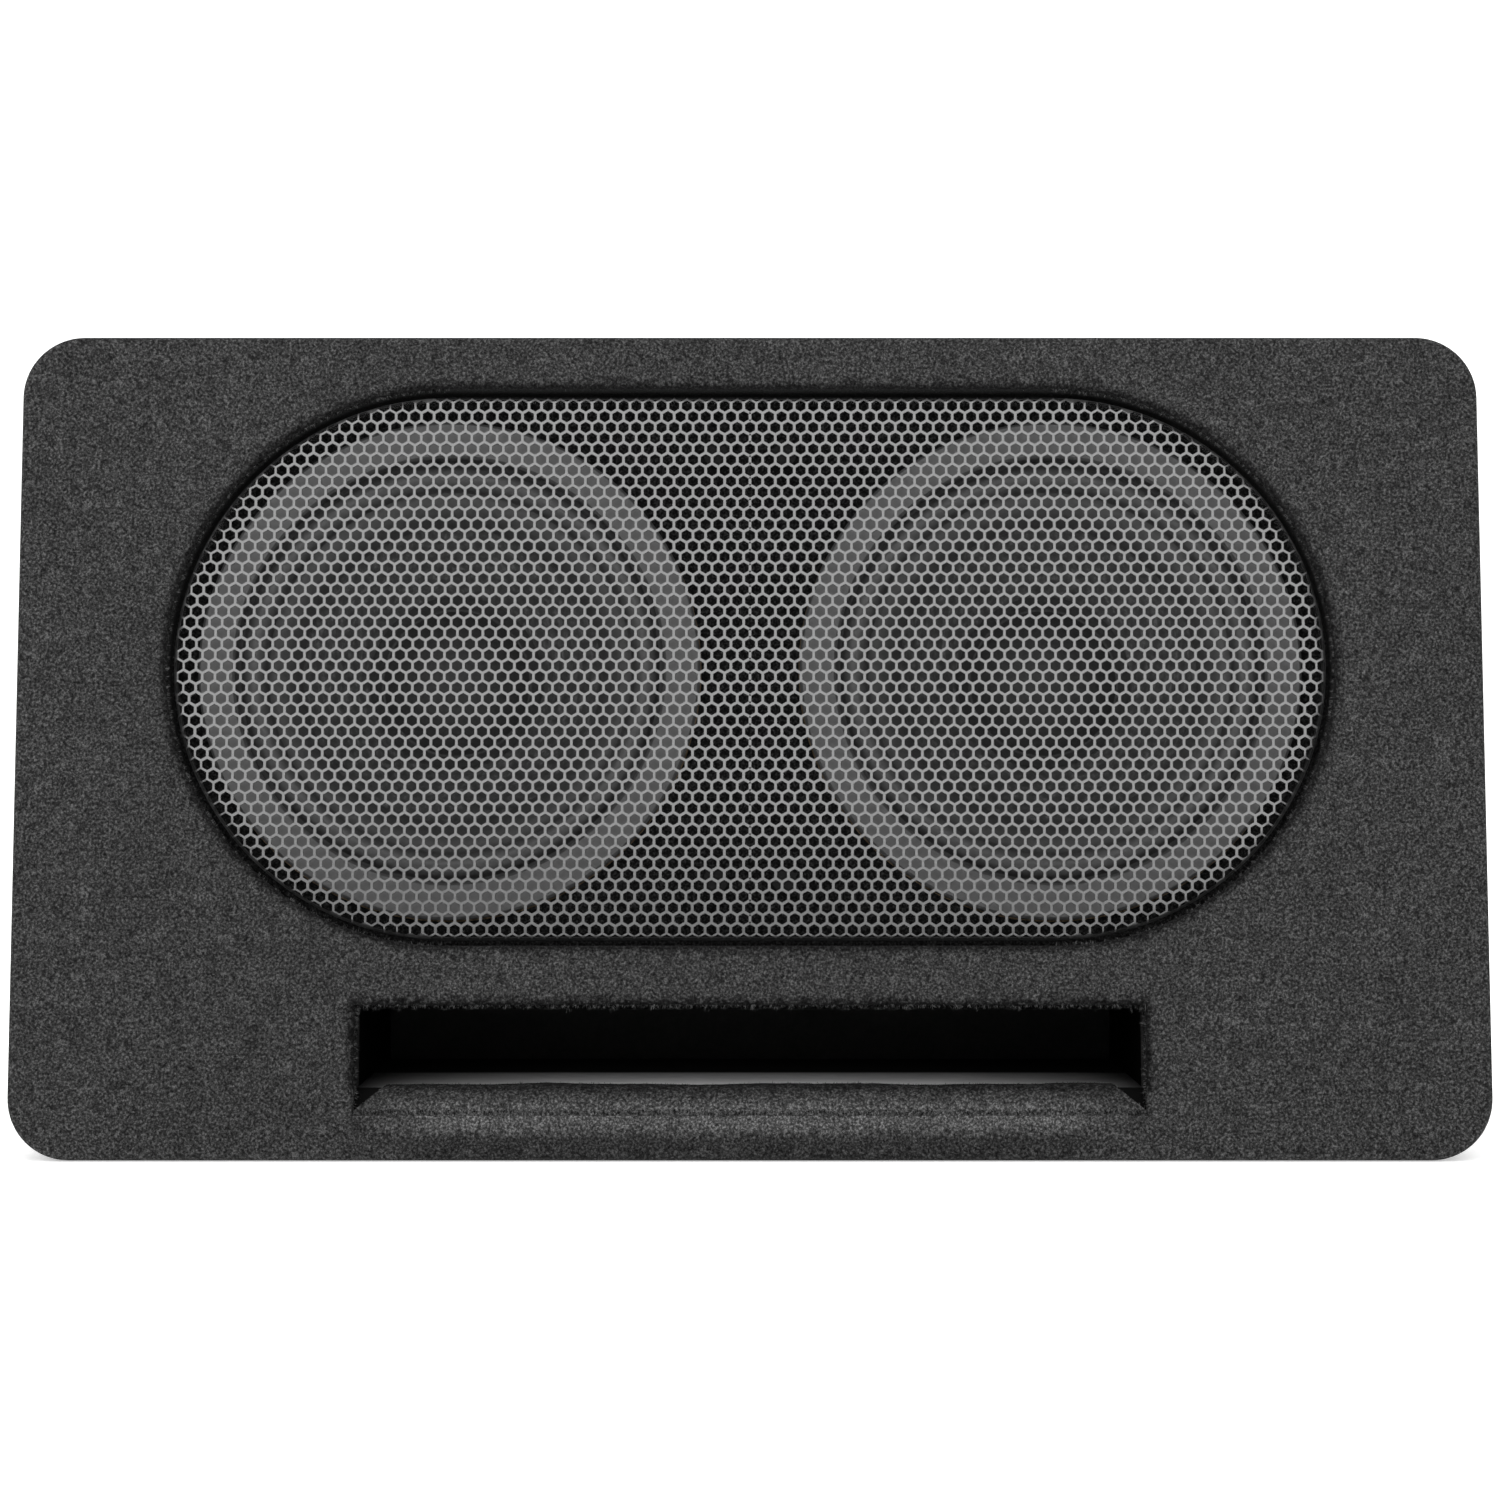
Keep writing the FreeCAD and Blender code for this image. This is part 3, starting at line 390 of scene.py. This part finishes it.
BLACK_STEEL = surface("black_steel_coat", grey(0.020), grey(0.034), 500.0, 0.42, metallic=0.2,
                      bump=0.12)
PLATE = surface("anodised_plate", grey(0.022), grey(0.036), 300.0, 0.38, metallic=0.55,
                bump=0.12, stretch=(0.05, 1, 1))
BRIGHT_STEEL = surface("zinc_steel", (0.50, 0.50, 0.49), (0.68, 0.68, 0.66), 380.0, 0.30,
                       metallic=1.0, bump=0.08)
BOARD_GREEN = surface("solder_mask", (0.010, 0.085, 0.040), (0.018, 0.13, 0.06), 220.0, 0.32)
COPPER = surface("copper_wire", (0.42, 0.17, 0.07), (0.66, 0.30, 0.14), 1400.0, 0.30,
                 metallic=1.0, bump=0.5, stretch=(1, 0.05, 1))
FUSE = surface("fuse_plastic", (0.50, 0.13, 0.02), (0.62, 0.18, 0.03), 300.0, 0.25, coat=0.4)
LENS = surface("lamp_lens", (0.30, 0.010, 0.010), (0.42, 0.02, 0.02), 200.0, 0.15, coat=0.6)
POT_STEEL = surface("pressed_cans", grey(0.40), grey(0.55), 400.0, 0.35, metallic=1.0)
SPIDER = cloth("resined_cloth", (0.22, 0.15, 0.05), (0.45, 0.34, 0.14), 0.0012)
FERRITE = surface("ferrite", grey(0.030), grey(0.060), 500.0, 0.75, bump=0.25)
PULP = pulp("cone_pulp")
CAP_PULP = surface("dust_cap_pulp", grey(0.016), grey(0.030), 900.0, 0.55, bump=0.3, specular=0.3)
MARK = surface("printed_mark", grey(0.70), grey(0.80), 400.0, 0.6, bump=0.05)

SLOTS = {
    "mdf": MDF, "port_paint": PORT_PAINT_AND_SHADE, "carpet": CARPET, "wadding": WADDING,
    "grille_steel": MESH_STEEL, "black_plastic": PLASTIC, "black_rubber": RUBBER,
    "black_steel": BLACK_STEEL, "amp_aluminium": PLATE, "circuit_board": BOARD_GREEN,
    "copper_winding": COPPER, "bright_steel": BRIGHT_STEEL, "fuse_plastic": FUSE,
    "led_lens": LENS, "pot_steel": POT_STEEL, "surround_rubber": ROLL_RUBBER,
    "ring_rubber": RING_RUBBER, "spider_cloth": SPIDER, "ferrite": FERRITE,
    "cone_paper": PULP,
}
BY_NODE = {"port_floor": PORT_FLOOR_PAINTED_LIGHT, "rear_panel": DARK_MDF_AND_SHADE, "carpet_front": FRONT_CARPET_PAINTED_LIGHT,
           "carpet_recess": SHADED_CARPET, "grille_cups": MATT_BLACK, "grille_pegs": MATT_BLACK,
           "dust_cap_left": CAP_PULP, "dust_cap_right": CAP_PULP}
for row in frame["record"]["subparts"]:
    node = frame["nodes"][row["node"]]
    node.data.materials.clear()
    node.data.materials.append(BY_NODE.get(row["node"], SLOTS[row["material_slot"]]))


# ---------------------------------------------------------------- mesh helpers
def piece(name, verts, faces, material, body, replaces=(), smooth=True):
    """A mesh piece in the row frame that rides on a body."""
    mesh = bpy.data.meshes.new(name)
    mesh.from_pydata([tuple(v) for v in verts], [], faces)
    mesh.validate()
    mesh.update()
    obj = bpy.data.objects.new(name, mesh)
    bpy.context.scene.collection.objects.link(obj)
    mesh.materials.append(material)
    if smooth:
        mesh.shade_smooth()
    if body:
        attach(obj, body)
    if replaces:
        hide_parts(*replaces)
    return obj


def tidy_normals(obj):
    """Turns every face outward, and keeps hard edges hard."""
    bm = bmesh.new()
    bm.from_mesh(obj.data)
    bmesh.ops.remove_doubles(bm, verts=bm.verts, dist=1e-7)
    bmesh.ops.recalc_face_normals(bm, faces=bm.faces)
    bm.to_mesh(obj.data)
    bm.free()
    obj.data.set_sharp_from_angle(angle=math.radians(50))


def turned(section, x, segments=144):
    """Vertices and faces of a closed (radius, depth) section turned about a driver's axis."""
    verts, faces = [], []
    count = len(section)
    for k in range(segments):
        a = 2 * math.pi * k / segments
        for radius, depth in section:
            verts.append(face_point(
                x + radius * math.cos(a), DRIVER_UP + radius * math.sin(a), depth))
    for k in range(segments):
        here, there = k * count, (k + 1) % segments * count
        for i in range(count):
            j = (i + 1) % count
            faces.append((here + i, here + j, there + j, there + i))
    return verts, faces


# ---------------------------------------------------------------- grille
def edge_distance(x, up):
    """How far inside the grille's outline a point is, and the nearest outline point."""
    cx = max(-DRIVER_X, min(DRIVER_X, x))
    dx, dy = x - cx, up - DRIVER_UP
    reach = math.hypot(dx, dy)
    if reach < 1e-9:
        return GRILLE_R, (x, up)
    return GRILLE_R - reach, (cx + dx / reach * GRILLE_R, DRIVER_UP + dy / reach * GRILLE_R)


def hole_cells():
    """Hexagonal cells in level rows, each cut off at the grille's outline."""
    corner = HEX_PITCH / math.sqrt(3)
    row_step = HEX_PITCH * math.sqrt(3) / 2
    rows = int(GRILLE_R / row_step) + 2
    cols = int((DRIVER_X + GRILLE_R) / HEX_PITCH) + 2
    for j in range(-rows, rows + 1):
        up = DRIVER_UP + j * row_step
        for i in range(-cols, cols + 1):
            x = (i + (0.5 if j % 2 else 0.0)) * HEX_PITCH
            raw = [(x + corner * math.cos(math.radians(60 * k + 30)),
                    up + corner * math.sin(math.radians(60 * k + 30))) for k in range(6)]
            if not any(edge_distance(*p)[0] > 1e-5 for p in raw):
                continue
            ring = []
            for p in raw:
                inside, nearest = edge_distance(*p)
                point = p if inside > SNAP else nearest
                key = (round(point[0] / KEY_STEP), round(point[1] / KEY_STEP))
                if key not in [known for known, _ in ring]:
                    ring.append((key, Vector(point)))
            if len(ring) > 2:
                yield ring


def ring_area(points):
    pairs = zip(points, points[1:] + points[:1])
    return 0.5 * abs(sum(a.x * b.y - b.x * a.y for a, b in pairs))


def punched_sheet(verts, faces):
    """Both skins of the sheet, and the hole walls that narrow to mid thickness."""
    full = 1.5 * HEX_PITCH ** 2 / math.sqrt(3)
    known, edges, corners, whole = {}, {}, {}, set()

    def add(point, depth):
        verts.append((point[0], point[1], -depth))
        return len(verts) - 1

    def joint(key, point, layer):
        if (key, layer) not in known:
            known[key, layer] = add(point, layer * GRILLE_SHEET)
        return known[key, layer]

    for ring in hole_cells():
        points = [point for _, point in ring]
        area = ring_area(points)
        punched = area > 0.30 * full
        flats = None
        if punched:
            mid = sum(points, Vector((0, 0))) / len(points)
            skins = []
            for inset, depth in ((HEX_FLAT, 0.0), (HEX_WEB, 0.5), (HEX_FLAT, 1.0)):
                scale = 1 - inset / HEX_PITCH * (1.0 if area > 0.98 * full else 0.6)
                skins.append([add(mid + (p - mid) * scale, depth * GRILLE_SHEET) for p in points])
            for above, below in zip(skins, skins[1:]):
                for k in range(len(points)):
                    m = (k + 1) % len(points)
                    faces.append((above[k], above[m], below[m], below[k]))
            flats = (skins[0], skins[2])
        else:
            for layer in (0, 1):
                faces.append(tuple(joint(key, point, layer) for key, point in ring))
        for k, (key, point) in enumerate(ring):
            m = (k + 1) % len(ring)
            edge = edges.setdefault(frozenset((key, ring[m][0])), [])
            edge.append((ring[k], ring[m], flats and [(skin[k], skin[m]) for skin in flats]))
            if punched:
                corners.setdefault((key, tuple(point)), []).append([skin[k] for skin in flats])
            else:
                whole.add(key)
    for sides in edges.values():
        start, end, _ = sides[0]
        webs = [side[2] for side in sides if side[2]]
        if len(webs) == 2:
            # the neighbour lists the shared edge the other way round
            for (a, b), (c, d) in zip(*webs):
                faces.append((a, b, c, d))
        elif webs:
            for layer, (a, b) in enumerate(webs[0]):
                begin, finish = (sides[0], sides[-1])[sides[-1][2] is webs[0]][:2]
                faces.append((joint(*begin, layer), joint(*finish, layer), b, a))
        if len(sides) == 1:
            faces.append((joint(*start, 0), joint(*end, 0), joint(*end, 1), joint(*start, 1)))
    for (key, point), around in corners.items():
        for layer in (0, 1):
            fan = [skins[layer] for skins in around]
            if len(fan) == 2:
                fan.append(joint(key, point, layer))
            if len(fan) == 3:
                faces.append(tuple(fan))


def grille_outline(inset, steps=64):
    """Points round the grille's outline, drawn in by an inset."""
    radius = GRILLE_R - inset
    for side, start in ((1, -math.pi / 2), (-1, math.pi / 2)):
        for k in range(steps + 1):
            a = start + math.pi * k / steps
            yield (side * DRIVER_X + radius * math.cos(a), DRIVER_UP + radius * math.sin(a))


def folded_rim(verts, faces):
    """Flange that folds back behind the sheet's edge."""
    section = ((0.0, GRILLE_SHEET), (0.0, GRILLE_RIM), (GRILLE_SHEET, GRILLE_RIM),
               (GRILLE_SHEET, GRILLE_SHEET))
    loops = []
    for inset, depth in section:
        first = len(verts)
        verts.extend((x, up, -depth) for x, up in grille_outline(inset))
        loops.append(range(first, len(verts)))
    for here, there in zip(loops, loops[1:] + loops[:1]):
        for k in range(len(here)):
            m = (k + 1) % len(here)
            faces.append((here[k], here[m], there[m], there[k]))


def shoulder(point):
    """Bends the sheet back near its outline."""
    x, up, height = point
    inside = edge_distance(x, up)[0]
    if inside > SHOULDER or height < -GRILLE_SHEET - 1e-6:
        return point
    run = SHOULDER - max(0.0, inside)
    return (x, up, height - SHOULDER + math.sqrt(SHOULDER ** 2 - run ** 2))


def grille():
    """Punched sheet with a rim that folds back."""
    verts, faces = [], []
    punched_sheet(verts, faces)
    folded_rim(verts, faces)
    verts = [shoulder(v) for v in verts]
    place = FACE @ Matrix.Translation((0, 0, -GRILLE_DEPTH))
    verts = [place @ Vector(v) for v in verts]
    obj = piece("grille_mesh", verts, faces, MESH_STEEL, "cabinet",
                replaces=("grille",), smooth=False)
    tidy_normals(obj)


grille()


# ---------------------------------------------------------------- surrounds
def surround_section():
    """Half roll with a foot at each side, drawn clockwise from the outer foot."""
    mid, depth = 0.0809, 0.0212
    big, small = 0.0056, 0.0046
    top = [(0.0920, 0.0205), (0.0868, 0.0205)]
    top += [(mid + big * math.cos(a), depth - big * math.sin(a))
            for a in (math.pi * k / 20 for k in range(1, 20))]
    top += [(0.0752, 0.0210), (0.0726, 0.0210), (0.0620, 0.0300)]
    under = [(0.0620, 0.0309), (0.0726, 0.0219), (0.0762, 0.0219)]
    under += [(mid - small * math.cos(a), depth - small * math.sin(a))
              for a in (math.pi * k / 20 for k in range(1, 20))]
    under += [(0.0856, 0.0219), (0.0920, 0.0219)]
    return top + under


def radial_blend(obj, side, x):
    """Bakes the piece's placement into its mesh; nothing ties its edges to the cabinet or the cone.
    """
    centre = face_point(x, DRIVER_UP, 0.02)
    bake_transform(obj)


for side, x in (("left", -DRIVER_X), ("right", DRIVER_X)):
    verts, faces = turned(surround_section(), x)
    roll = piece("surround_roll_" + side, verts, faces, ROLL_RUBBER, None,
                 replaces=("surround_" + side,))
    radial_blend(roll, side, x)


def spider_section():
    """Corrugated disc between the coil former and the basket ledge."""
    start, end, depth, skin, waves = 0.0254, 0.0620, 0.0720, 0.0007, 6
    top = []
    for k in range(12 * waves + 1):
        t = k / (12 * waves)
        fade = min(1.0, 8 * t, 8 * (1 - t))
        radius = start + (end - start) * t
        top.append((radius, depth - 0.0007 - 0.0009 * fade * math.cos(2 * math.pi * waves * t)))
    return top + [(radius, d + skin) for radius, d in top[::-1]]


for side, x in (("left", -DRIVER_X), ("right", DRIVER_X)):
    verts, faces = turned(spider_section(), x, 96)
    disc = piece("spider_disc_" + side, verts, faces, SPIDER, None,
                 replaces=("spider_" + side,))
    radial_blend(disc, side, x)


# ---------------------------------------------------------------- soft pieces
def lip_height(x):
    """Top of the lip carpet along the port: cut off on a slant at each end."""
    slant = LIP_FOOT_Z + (MOUTH_HALF - abs(x)) / LIP_TAPER * (LIP_TOP_Z - LIP_FOOT_Z)
    wave = 0.00018 * math.sin(x * 61.0) + 0.00012 * math.sin(x * 143.0 + 1.0)
    return min(slant, LIP_TOP_Z - 0.0003 + wave)


def lip_carpet():
    """Carpet rolled over the nose of the port floor, with a cut edge on top."""
    outer, inner, columns, steps = LIP_R + LIP_SKIN, LIP_R + 0.0002, 240, 14
    verts, faces = [], []
    for c in range(columns + 1):
        x = MOUTH_HALF * (2 * c / columns - 1)
        end = math.asin(max(0.05, min(0.999, (lip_height(x) - LIP_Z) / outer)))
        section = [(outer, end * k / steps) for k in range(steps + 1)]
        section += [((outer + inner) / 2, end + 0.03)]
        section += [(inner, end * (1 - k / steps)) for k in range(steps + 1)]
        for radius, a in section:
            lump = noise.noise(Vector((x, a * radius, 0.0)) * 260.0)
            radius += 0.00018 * lump if radius > inner else 0.0
            verts.append((x, LIP_Y - radius * math.cos(a), LIP_Z + radius * math.sin(a)))
    count = len(section)
    for c in range(columns):
        for k in range(count):
            m = (k + 1) % count
            here, there = c * count, (c + 1) * count
            faces.append((here + k, there + k, there + m, here + m))
    faces.append(tuple(range(count)))
    faces.append(tuple(columns * count + k for k in reversed(range(count))))
    obj = piece("lip_carpet", verts, faces, FRONT_CARPET_PAINTED_LIGHT, "cabinet",
                replaces=("carpet_lip",))
    tidy_normals(obj)


def fibre(verts, faces, root, out, length, width):
    """Three-sided hair that bends over and runs to a point."""
    side = out.cross(Vector((rng.uniform(-1, 1), rng.uniform(-1, 1), rng.uniform(-1, 1))))
    side.normalize()
    third = out.cross(side)
    droop = side * rng.uniform(-0.5, 0.5) * length
    first = len(verts)
    for reach, spread, bend in ((-0.15, 1.0, 0.0), (0.55, 0.8, 0.35)):
        for k in range(3):
            a = 2 * math.pi * k / 3
            offset = (side * math.cos(a) + third * math.sin(a)) * width * 0.5 * spread
            verts.append(root + out * length * reach + droop * bend + offset)
    verts.append(root + out * length + droop)
    tip = first + 6
    faces.append((first + 2, first + 1, first))
    for k in range(3):
        m = (k + 1) % 3
        faces.append((first + k, first + m, first + 3 + m, first + 3 + k))
        faces.append((first + 3 + k, first + 3 + m, tip))


def tuft_length(short, long, gain, clump, inset):
    """Length of a fibre: longer in clumps and near a corner of the port mouth."""
    corner = max(0.0, 1.0 - inset / 0.004)
    return rng.uniform(short, long) + gain * max(0.0, clump) ** 2 + 0.0020 * corner


def mouth_spots():
    """Roots, leanings and lengths of loose pile round the port mouth: clumps, longer in corners."""
    top = MOUTH_TOP / math.cos(LEAN) + 0.0003
    for _ in range(2600):
        x = rng.uniform(-MOUTH_HALF, MOUTH_HALF)
        clump = 0.5 + noise.noise(Vector((x * 320.0, 0.0, 3.0)))
        root = face_point(x, top, rng.uniform(-0.0002, 0.004))
        lie = Vector((rng.uniform(-0.9, 0.9), rng.uniform(-0.9, 0.1), -1.0))
        yield root, lie, tuft_length(0.0004, 0.0018, 0.0018, clump, MOUTH_HALF - abs(x))
    for _ in range(700):
        sign = rng.choice((-1, 1))
        up = rng.uniform(0.021, MOUTH_TOP)
        clump = 0.5 + noise.noise(Vector((up * 320.0, sign, 9.0)))
        root = face_point(sign * MOUTH_HALF, up, rng.uniform(0.0005, 0.006))
        lie = Vector((-sign, rng.uniform(-0.9, 0.1), rng.uniform(-0.6, 0.6)))
        yield root, lie, tuft_length(0.0006, 0.0014, 0.0016, clump, MOUTH_TOP - up)


def lip_spots():
    """Roots of short loose pile along the lip carpet's cut edge and across the seam below it."""
    for _ in range(1300):
        x = rng.uniform(-MOUTH_HALF, MOUTH_HALF) * 0.995
        high = lip_height(x)
        a = math.asin(min(0.999, (high - LIP_Z) / (LIP_R + LIP_SKIN)))
        reach = LIP_R + LIP_SKIN - rng.uniform(0.0, 0.0015)
        root = Vector((x, LIP_Y - reach * math.cos(a), LIP_Z + reach * math.sin(a)))
        yield root, Vector((rng.uniform(-0.8, 0.8), rng.uniform(-0.6, 0.8), 1.0)), rng.uniform(
            0.0004, 0.0011)
    for _ in range(1500):
        root = face_point(rng.uniform(-MOUTH_HALF, MOUTH_HALF), rng.uniform(0.0183, 0.0200), 0.0001)
        lie = Vector((rng.uniform(-0.5, 0.5), rng.uniform(-0.05, 0.10), 1.0))
        yield root, lie, rng.uniform(0.0008, 0.0016)


def recess_spots():
    """Roots of loose pile round the driver recess."""
    points = list(grille_outline(GRILLE_R - RECESS_R, 400))
    for _ in range(3600):
        k = rng.randrange(len(points))
        here, there = points[k], points[(k + 1) % len(points)]
        t = rng.random()
        x, up = (here[0] + (there[0] - here[0]) * t, here[1] + (there[1] - here[1]) * t)
        cx = max(-DRIVER_X, min(DRIVER_X, x))
        inward = FACE.to_3x3() @ Vector((cx - x, DRIVER_UP - up, rng.uniform(-0.02, 0.10)))
        inward.normalize()
        wander = Vector((rng.uniform(-1, 1), rng.uniform(-1, 1), rng.uniform(-1, 1))) * 0.5
        yield face_point(x, up, rng.uniform(0.0012, 0.0030)), inward + wander, rng.uniform(
            0.0005, 0.0021)


def loose_pile(name, spots):
    verts, faces = [], []
    for root, out, length in spots:
        fibre(verts, faces, root, out.normalized(), length, rng.uniform(0.00012, 0.00024))
    piece(name, verts, faces, FIBRE, "cabinet", smooth=False)


def wadding():
    """Fibre blanket under the top board: lumpy, thinner at its edges."""
    low, high = (Vector(c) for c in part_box("damping_pad"))
    size = high - low
    cols, rows = 110, 40
    verts, faces = [], []
    for layer in (0, 1):
        for j in range(rows + 1):
            for i in range(cols + 1):
                u, v = i / cols, j / rows
                edge = min(u * size.x, (1 - u) * size.x, v * size.y, (1 - v) * size.y)
                swell = min(1.0, 0.25 + edge / 0.020) * size.z
                spot = Vector((low.x + u * size.x, low.y + v * size.y, 0.0))
                lump = 0.003 * noise.noise(spot * 45.0) + 0.0012 * noise.noise(spot * 160.0)
                drop = max(0.0012, swell - 0.003 + lump)
                z = high.z - 0.0004 if layer else high.z - drop
                verts.append((spot.x, spot.y, z))
    span = cols + 1
    top = span * (rows + 1)
    for j in range(rows):
        for i in range(cols):
            k = j * span + i
            faces.append((k, k + span, k + span + 1, k + 1))
            faces.append((top + k, top + k + 1, top + k + span + 1, top + k + span))
    border = [(i, i + 1) for i in range(cols)]
    border += [(j * span + cols, (j + 1) * span + cols) for j in range(rows)]
    border += [(rows * span + i + 1, rows * span + i) for i in range(cols)]
    border += [((j + 1) * span, j * span) for j in range(rows)]
    faces += [(a, b, top + b, top + a) for a, b in border]
    obj = piece("wadding_blanket", verts, faces, WADDING, "cabinet",
                replaces=("damping_pad",))
    tidy_normals(obj)


lip_carpet()
loose_pile("mouth_pile", mouth_spots())
loose_pile("lip_pile", lip_spots())
loose_pile("recess_pile", recess_spots())
wadding()


# ---------------------------------------------------------------- printed marks on the plate
def bar(verts, faces, x, z, angle, near, far, width, low, high):
    """Thin raised bar that points away from (x, z) at an angle from the top, between two radii."""
    out = Vector((math.sin(angle), 0, math.cos(angle)))
    across = Vector((math.cos(angle), 0, -math.sin(angle))) * width / 2
    first = len(verts)
    for y in (low, high):
        for reach, sign in ((near, -1), (near, 1), (far, 1), (far, -1)):
            verts.append(Vector((x, y, z)) + out * reach + across * sign)
    quads = ((0, 1, 2, 3), (7, 6, 5, 4), (0, 4, 5, 1), (1, 5, 6, 2), (2, 6, 7, 3), (3, 7, 4, 0))
    for quad in quads:
        faces.append(tuple(first + k for k in quad))


def knob_marks():
    """Scale of eleven ticks round each knob, and a painted pointer in each knob's groove."""
    verts, faces = [], []
    for name in ("gain", "lowpass", "boost"):
        low, high = (Vector(c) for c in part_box(name + "_knob"))
        x = (low.x + high.x) / 2
        for k in range(TICKS):
            end = TICK_END if k % 5 else LONG_TICK_END
            bar(verts, faces, x, CONTROL_Z, math.radians(-150 + 30 * k), TICK_FOOT, end,
                TICK_WIDTH, PLATE_FACE - 0.0002, PLATE_FACE + 0.0001)
        line_verts, line_faces = [], []
        bar(line_verts, line_faces, x, CONTROL_Z, 0.0, POINTER_FOOT, POINTER_END,
            POINTER_WIDTH, high.y - 0.0009, high.y - 0.0003)
        pointer = piece(name + "_pointer", line_verts, line_faces, MARK, name + "_body",
                        smooth=False)
        tidy_normals(pointer)
    scale = piece("knob_scales", verts, faces, MARK, "cabinet", smooth=False)
    tidy_normals(scale)


knob_marks()


# ---------------------------------------------------------------- camera and light
def area_light(name, place, target, size, power):
    data = bpy.data.lights.new(name, "AREA")
    data.shape = "RECTANGLE"
    data.size, data.size_y = size
    data.energy = power
    lamp = bpy.data.objects.new(name, data)
    lamp.location = place
    aim = Vector(target) - Vector(place)
    lamp.rotation_euler = aim.to_track_quat("-Z", "Y").to_euler()
    bpy.context.scene.collection.objects.link(lamp)


def studio():
    """White sweep: floor and a curved wall behind."""
    verts, faces = [], []
    profile = [(-14.0, 0.0), (2.0, 0.0)]
    profile += [(2.0 + 1.5 * math.sin(a), 1.5 - 1.5 * math.cos(a))
                for a in (math.pi / 2 * k / 16 for k in range(1, 17))]
    profile += [(3.5, 6.0)]
    for y, z in profile:
        verts += [(-16.0, y, z - 0.0004), (16.0, y, z - 0.0004)]
    for k in range(len(profile) - 1):
        faces.append((2 * k, 2 * k + 1, 2 * k + 3, 2 * k + 2))
    mesh = bpy.data.meshes.new("studio_sweep")
    mesh.from_pydata(verts, [], faces)
    mesh.shade_smooth()
    obj = bpy.data.objects.new("studio_sweep", mesh)
    bpy.context.scene.collection.objects.link(obj)
    n = Nodes("studio_white")
    n.shader.inputs["Base Color"].default_value = (0.93, 0.93, 0.93, 1)
    n.shader.inputs["Roughness"].default_value = 0.9
    n.shader.inputs["Emission Color"].default_value = WHITE
    n.shader.inputs["Emission Strength"].default_value = 0.42
    mesh.materials.append(n.mat)


HORIZON_END, SKY_START = 0.19, 0.23     # sines of the elevation
HORIZON_GLOW, SKY_GLOW = 1.03, 0.73


def surroundings():
    """White horizon, so that the floor's end doesn't show, under a softer sky."""
    world = bpy.data.worlds.new("studio_world")
    world.use_nodes = True
    nodes, links = world.node_tree.nodes, world.node_tree.links
    direction = nodes.new("ShaderNodeTexCoord").outputs["Generated"]
    split = nodes.new("ShaderNodeSeparateXYZ")
    steep = nodes.new("ShaderNodeMath")
    steep.operation = "ABSOLUTE"
    glow = nodes.new("ShaderNodeMapRange")
    for socket, value in (("From Min", HORIZON_END), ("From Max", SKY_START),
                          ("To Min", HORIZON_GLOW), ("To Max", SKY_GLOW)):
        glow.inputs[socket].default_value = value
    links.new(direction, split.inputs["Vector"])
    links.new(split.outputs["Z"], steep.inputs[0])
    links.new(steep.outputs["Value"], glow.inputs["Value"])
    links.new(glow.outputs["Result"], nodes["Background"].inputs["Strength"])
    nodes["Background"].inputs["Color"].default_value = WHITE
    bpy.context.scene.world = world


studio()
surroundings()
area_light("front_softbox", (-0.35, -2.1, 1.16), (0.0, -0.1, 0.2), (2.2, 1.2), 26.0)
area_light("top_softbox", (-0.4, -0.3, 2.0), (0.0, 0.0, 0.2), (1.6, 1.2), 9.0)
area_light("rear_softbox", (0.6, 2.0, 1.4), (0.0, 0.0, 0.2), (1.6, 1.2), 14.0)

bpy.context.scene.view_settings.view_transform = "Standard"
camera = bpy.data.cameras.new("camera")
camera.sensor_width = 36.0
camera.lens = 94.17
cam = bpy.data.objects.new("camera", camera)
cam.location = (0.0, -1.7107, 0.1655)
cam.rotation_euler = (math.pi / 2, 0, 0)
bpy.context.scene.collection.objects.link(cam)
bpy.context.scene.camera = cam
